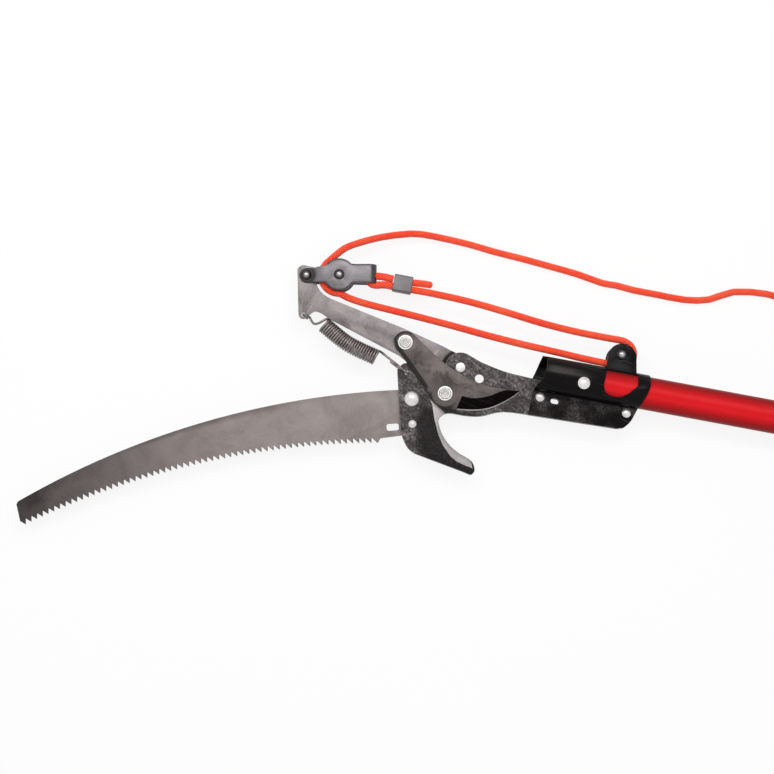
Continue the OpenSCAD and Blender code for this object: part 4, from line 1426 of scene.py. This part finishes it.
@dataclass
class Tackle:
    """The block, its sheave, the guide pulley and the rope between them."""

    rope: Rope
    turn: tuple[Point, ...] = ((143.2, 43.4), (151, 43), (157.6, 39.6), (160.9, 33.4), (160.6, 27),
                               (156.8, 22), (149.8, 20))
    tilt: float = 10.6
    up: tuple[Point, ...] = ((-56, 54.3), (-47, 54.2), (-27, 54.3), (6, 53), (40, 49.8),
                             (73, 45.9), (103, 43.8), (130, 43.3))
    down: tuple[Point, ...] = ((118, 20.7), (94, 22), (61, 23.4), (28, 25.6), (-6, 28.6),
                               (-39, 31), (-65, 32.6), (-85, 34), (-100, 36))
    up_keep: float = 0.05
    up_turn: float = -7.09
    up_anchor: Point = (-56.81, 68.28)
    down_keep: float = 0.303
    down_turn: float = -15.0
    loop: tuple[Point, ...] = ((78.9, -3.2), (71, -1.3), (64.5, -0.5), (60.6, -0.8), (58.2, -2.9),
                               (57.8, -5.8), (59.8, -8.2), (63.8, -8.7), (71, -8.5), (78.9, -10))
    eye_r: float = 3.4
    stub: tuple[Point, ...] = ((-56, 60.4), (-47, 60.8), (-41, 61.2), (-35, 61.6), (-28.6, 61.6))

    def build(self) -> None:
        """Make the metal and then the rope."""
        softened("block_strap", "block", Body.BLOCK, [Finishes.STRAP, Finishes.STRAP_EDGE],
                 "strap_steel", 0.7)
        for node, shank_r in (("block_pin", 2.6), ("block_axle", 2.5)):
            domed_rivet(node, Body.BLOCK, Finishes.DARK_STEEL, shank_r)
        softened("block_sheave", "sheave", Body.BLOCK_WHEEL, [Finishes.WHEEL], "wheel_plastic",
                 0.3, 35)
        softened("guide_pulley", "guide_wheel_moulded", Body.GUIDE_WHEEL, [Finishes.WHEEL],
                 "wheel_plastic", 0.3, 35)
        softened("rope_ferrule", "ferrule", Body.BLOCK, [Finishes.FERRULE, Finishes.FERRULE_EDGE],
                 "ferrule_metal", 1.0, segments=3)
        self._ropes()

    def _ropes(self) -> None:
        """Make the rope in the tackle."""
        wrap = [at_head(*p) for p in self.turn]
        seat = arc_points(at_head(*BLOCK_AXLE), SHEAVE_R * MM, 282, LEAD_ANGLE, 12)
        self.rope.length("rope_round_guide", wrap, Body.HEAD, ["rope_tackle"])
        up = [*(at_head(*p) for p in self.up), wrap[0]]
        made, _ = self.rope.length("rope_run_up", up, Body.BLOCK)
        at_head(*self.up_anchor)
        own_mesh(made)
        down = [wrap[-1], *(at_head(*p) for p in self.down), seat[0]]
        made, _ = self.rope.length("rope_run_down", down, Body.BLOCK)
        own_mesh(made)
        self.rope.length("rope_round_sheave", seat, Body.BLOCK)
        turn = Matrix.Rotation(math.radians(self.tilt), 3, "Z")
        loop = [at_head(*BLOCK_PIN) + turn @ Vector((x * MM, y * MM, 0)) for x, y in self.loop]
        eye = replace(self.rope, radius=self.eye_r)
        eye.length("rope_eye", loop, Body.BLOCK, ["rope_loop"], 8, 1.4)
        stub = replace(self.rope, round_end=3.0)
        stub.length("rope_stub", [at_head(*p) for p in self.stub], Body.BLOCK, (), 6, 0.5)


@dataclass
class HaulingRope:
    """The free rope: from the block over the floor, round the coil, to the handle."""

    rope: Rope
    lead: tuple[Place, ...] = ((-114, 80.6, 19.5), (-101, 89.4, 17))
    route: tuple[Place, ...] = (
        (-84, 98.2, 13.5), (-57, 107.8, 9), (-36, 109.8, 6), (-3, 108.9, 3.7), (20, 106.5, 3.3),
        (47, 104.7, 3.3), (73, 102.4, 3.3), (100, 99.8, 3.3), (124, 95.8, 3.3), (137, 96, 3.3),
        (153, 94.6, 3.3), (174, 94.5, 3.3), (201, 94.4, 3.3), (223, 98.8, 3.3), (244, 110, 3.3),
        (275, 113.6, 3.3), (300, 109.5, 3.4), (325, 104.6, 4.0))
    tail: tuple[Place, ...] = (
        (385, 98.4, 23), (402, 97, 18), (420, 96, 12.5), (438, 95, 10.4), (452, 94, 10.6))
    coil: Point = (370.0, 152.0)
    coil_r: float = 49.75
    coil_low: float = 4.4
    pitch: float = 6.5
    rows: int = 4
    rope_z: float = 11.0
    handle: Point = (473.0, 94.0)
    handle_r: float = 11.0
    handle_half: float = 42.0
    knot_x: float = 490.4
    knot_size: float = 1.05
    knot_rope_r: float = 3.0
    settled: Point = (78.0, 102.0)

    def build(self) -> None:
        lead = [self._above(p) for p in self.lead]
        seat = at_head(*BLOCK_AXLE) + direction(LEAD_ANGLE) * SHEAVE_R * MM
        made, _ = self.rope.length("rope_lead", [seat, *lead], None)
        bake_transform(made)
        handle = (*self.handle, self.rope_z)
        points = [lead[-1], *(self._above(p) for p in self.route), *self._coil(),
                  *(self._above(p) for p in (*self.tail, handle, self._knot_place()))]
        rope, line = self.rope.length("hauling_rope", points, None,
                                      ["rope_free", "rope_coil", "rope_tail"], 2, 3.0, 16)
        tie = softened("coil_tie", "tie_strap", Body.HEAD, [Finishes.WEBBING], "webbing", 0.3)
        extras = [tie, self._grip(), self._knot()]
        at_head(*self.settled)
        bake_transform(rope)
        line_length(line)

    def _knot_place(self) -> Place:
        """Return the head coordinates and the height of the knot."""
        return self.knot_x, self.handle[1], self.rope_z

    @staticmethod
    def _above(place: Sequence[float]) -> Vector:
        """Return a place given by its head coordinates and its height above the floor."""
        return Vector((HEAD_X + place[0] * MM, place[1] * MM, FLOOR_Z + place[2] * MM))

    def _coil(self) -> list[Vector]:
        """Return points along the coil, out and in by turns in each layer.

        Returns:
            The points of the coil.
        """
        made = []
        steps = 24
        ease = steps // 6
        turns = self.rows * self.rows
        radii = []
        for layer in range(self.rows):
            ring = [self.coil_r - self.pitch * k for k in range(self.rows)]
            radii += ring if layer % 2 == 0 else ring[::-1]
        heights = [self.coil_low + self.pitch * (k // self.rows) for k in range(turns)]
        radii.append(radii[-1])
        heights.append(heights[-1])
        for k in range(turns * steps + 1):
            turn = min(k // steps, turns - 1)
            share = max(0.0, (k - turn * steps - (steps - ease)) / ease)
            share = share * share * (3 - 2 * share)
            radius = radii[turn] + (radii[turn + 1] - radii[turn]) * share
            height = heights[turn] + (heights[turn + 1] - heights[turn]) * share
            angle = math.tau * k / steps - math.pi / 2
            made.append(self._above((self.coil[0] + radius * math.cos(angle),
                                     self.coil[1] + radius * math.sin(angle), height)))
        return made

    def _grip(self) -> bpy.types.Object:
        """Make the pull handle on a lathe.

        Returns:
            The handle.
        """
        r, half = self.handle_r, self.handle_half
        end = ((r - 2.6, half), (r - 1.2, half - 0.5), (r - 0.5, half - 1.6), (r, half - 3),
               (r, half - 7))
        profile = [(0, -half), *((out, -height) for out, height in end)]
        for k in range(6):
            middle = -27.5 + k * 11
            profile += [(r - sunk, middle + way) for way, sunk in (
                (-3.4, 0), (-2.2, 0.9), (0, 1.1), (2.2, 0.9), (3.4, 0))]
        profile += [*reversed(end), (0, half)]
        centre = self._above((*self.handle, self.handle_r))
        mesh = turned(profile, centre, Vector((0, 1, 0)), 48)
        return piece("handle", mesh, Body.HEAD, [Finishes.PLASTIC],
                     ["pull_handle"], 40)

    def _knot(self) -> bpy.types.Object:
        """Make the knot behind the handle, a small overhand turn of the rope.

        Returns:
            The knot.
        """
        centre = self._above(self._knot_place())
        steps = 48
        line = []
        for k in range(steps + 1):
            angle = math.tau * k / steps
            aside = (math.sin(angle) + 2 * math.sin(2 * angle)) * self.knot_size
            above = (math.cos(angle) - 2 * math.cos(2 * angle)) * self.knot_size
            line.append(centre + Vector((math.sin(3 * angle) * -1.1, aside, above)) * MM)
        mesh = tube(line, lambda share, way: self.knot_rope_r * MM, 14)
        return piece("knot", mesh, Body.HEAD, [Finishes.ROPE], ["end_knot"], 80)


# ---- Pole ----


@dataclass
class PoleParts:
    """The socket, the two poles, the lock collar, the foam grip and the cap.

    Its sizes are the widths of the rounded edges, and the radius of the guide rivet's shank.
    """

    sheet: float = 0.35
    screw: float = 0.2
    tube: float = 0.3
    collar: float = 0.7
    lever: float = 0.8
    grip: float = 0.6
    cap: float = 0.5
    shank_r: float = 3.0

    def build(self) -> None:
        """Make every piece of the pole."""
        enamel = ([Finishes.SOCKET, Finishes.SOCKET_EDGE], "socket_black", self.sheet, 45)
        zinc = ([Finishes.ZINC], "zinc", self.screw, 35)
        paint = ([Finishes.POLE], "pole_red", self.tube)
        black = ([Finishes.PLASTIC], "black_plastic")
        for node, body, look in (
                ("socket_front", Body.HEAD, enamel), ("socket_rear", Body.HEAD, enamel),
                ("socket_screws", Body.HEAD, zinc), ("socket_nuts", Body.HEAD, zinc),
                ("pole_screw", Body.HEAD, zinc), ("pole_screw_nut", Body.HEAD, zinc),
                ("inner_pole", Body.HEAD, paint),
                ("inner_plug", Body.HEAD, (*black, self.tube)),
                ("outer_pole", Body.HANDLE_POLE, paint),
                ("lock_collar", Body.HANDLE_POLE, (*black, self.collar)),
                ("clamp_bolt", Body.HANDLE_POLE, zinc), ("lock_pin", Body.HANDLE_POLE, zinc),
                ("lock_lever", Body.POLE_LOCK, ([Finishes.LEVER_RED], "lever_red", self.lever)),
                ("foam_grip", Body.HANDLE_POLE, ([Finishes.FOAM], "foam", self.grip)),
                ("butt_cap", Body.HANDLE_POLE, (*black, self.cap))):
            softened(node, node + "_made", body, *look)
        domed_rivet("guide_rivet", Body.HEAD, Finishes.RIVET, self.shank_r)


# ---- Studio ----


@dataclass(frozen=True)
class Studio:
    """Camera, neutral light and a white floor."""

    target: Place = (-52.3, -37.2, 0.0)
    distance: float = 1.45
    tilt: float = 83.0
    roll: float = 10.6
    lens: float = 74.94
    ambient: float = 0.5
    key_power: float = 16.0
    strip_power: float = 5.0
    spot_power: float = 0.5
    floor_albedo: float = 0.88
    floor_white: float = 0.86
    floor_gap: float = 0.0005
    floor_half: float = 80.0

    def camera(self) -> None:
        """Place the camera above the head, rolled so that the pole runs down to the right."""
        data = bpy.data.cameras.new("camera")
        data.sensor_width = 36.0
        data.lens = self.lens
        data.clip_start, data.clip_end = 0.05, 20
        right = direction(self.roll)
        level, tilt = Vector((-right.y, right.x, 0)), math.radians(self.tilt)
        back = UP * math.sin(tilt) - level * math.cos(tilt)
        matrix = Matrix((right, back.cross(right), back)).transposed().to_4x4()
        matrix.translation = at_head(*self.target) + back * self.distance
        made = bpy.context.scene.camera = in_scene("camera", data)
        made.matrix_world = matrix

    def light(self) -> None:
        """Make the world, which shows brighter than it lights, and the lamps."""
        scene = bpy.context.scene
        scene.view_settings.view_transform = "Standard"
        g = Graph("studio", True)
        soft, bright = (g.node("ShaderNodeBackground", None,
                               {"Color": (1.0, 1.0, 1.0), "Strength": strength})
                        for strength in (self.ambient, 1.0))
        scene.world = g.close(g.node("ShaderNodeMixShader", None,
                                     {0: g.seen(), 1: soft, 2: bright}))
        self._lamp("key", self.key_power, (1.9, 1.5), Vector((-0.15, 0.35, 1.65)), False)
        self._lamp("strip", self.strip_power, (1.5, 0.12), Vector((-0.10, 0.66, 1.30)), True)
        self._lamp("spot", self.spot_power, (0.14, 0.14), Vector((0.05, 0.14, 1.80)), True)

    def _lamp(self, name: str, power: float, size: Point, offset: Vector, shines: bool) -> None:
        """Make an area lamp that points at the head.

        Args:
            name: Its name.
            power: Its power in watts.
            size: Its width and height.
            offset: Where it is from the camera's target.
            shines: Whether it shows in reflections.
        """
        lamp = bpy.data.lights.new(name, "AREA")
        lamp.shape = "RECTANGLE"
        lamp.size, lamp.size_y = size
        lamp.energy = power
        made = in_scene(name, lamp)
        made.location = at_head(*self.target) + offset
        made.rotation_mode = "QUATERNION"
        made.rotation_quaternion = (-offset).to_track_quat("-Z", "Y")
        made.visible_glossy = shines

    def floor(self) -> None:
        """Make the floor, which reads as white but still takes the object's shadow."""
        g = Graph("floor_white")
        paper = g.noise(3, 3).ramp((0.0, self.floor_albedo), (1.0, self.floor_albedo + 0.02))
        matt = g.node("ShaderNodeBsdfDiffuse", None, {"Color": paper})
        glow = g.node("ShaderNodeEmission", None, {"Color": (1.0, 1.0, 1.0), "Strength": 1.0})
        white = g.close(g.node("ShaderNodeMixShader", None,
                               {0: g.seen() * self.floor_white, 1: matt, 2: glow}))
        mesh = bmesh.new()
        bmesh.ops.create_grid(mesh, x_segments=1, y_segments=1, size=self.floor_half)
        made = mesh_object("floor", mesh, [white])
        made.location = (HEAD_X, 0, FLOOR_Z - self.floor_gap)


def main() -> None:
    """Build the whole scene."""
    logging.basicConfig(level=logging.INFO, format="%(message)s")
    studio = Studio()
    studio.camera()
    rope = Rope()
    for group in (HaulingRope(rope), Tackle(rope), HeadPlate(), Pruner(), PoleParts()):
        group.build()
    studio.light()
    studio.floor()
    bpy.context.view_layer.update()


if __name__ == "__main__":
    main()
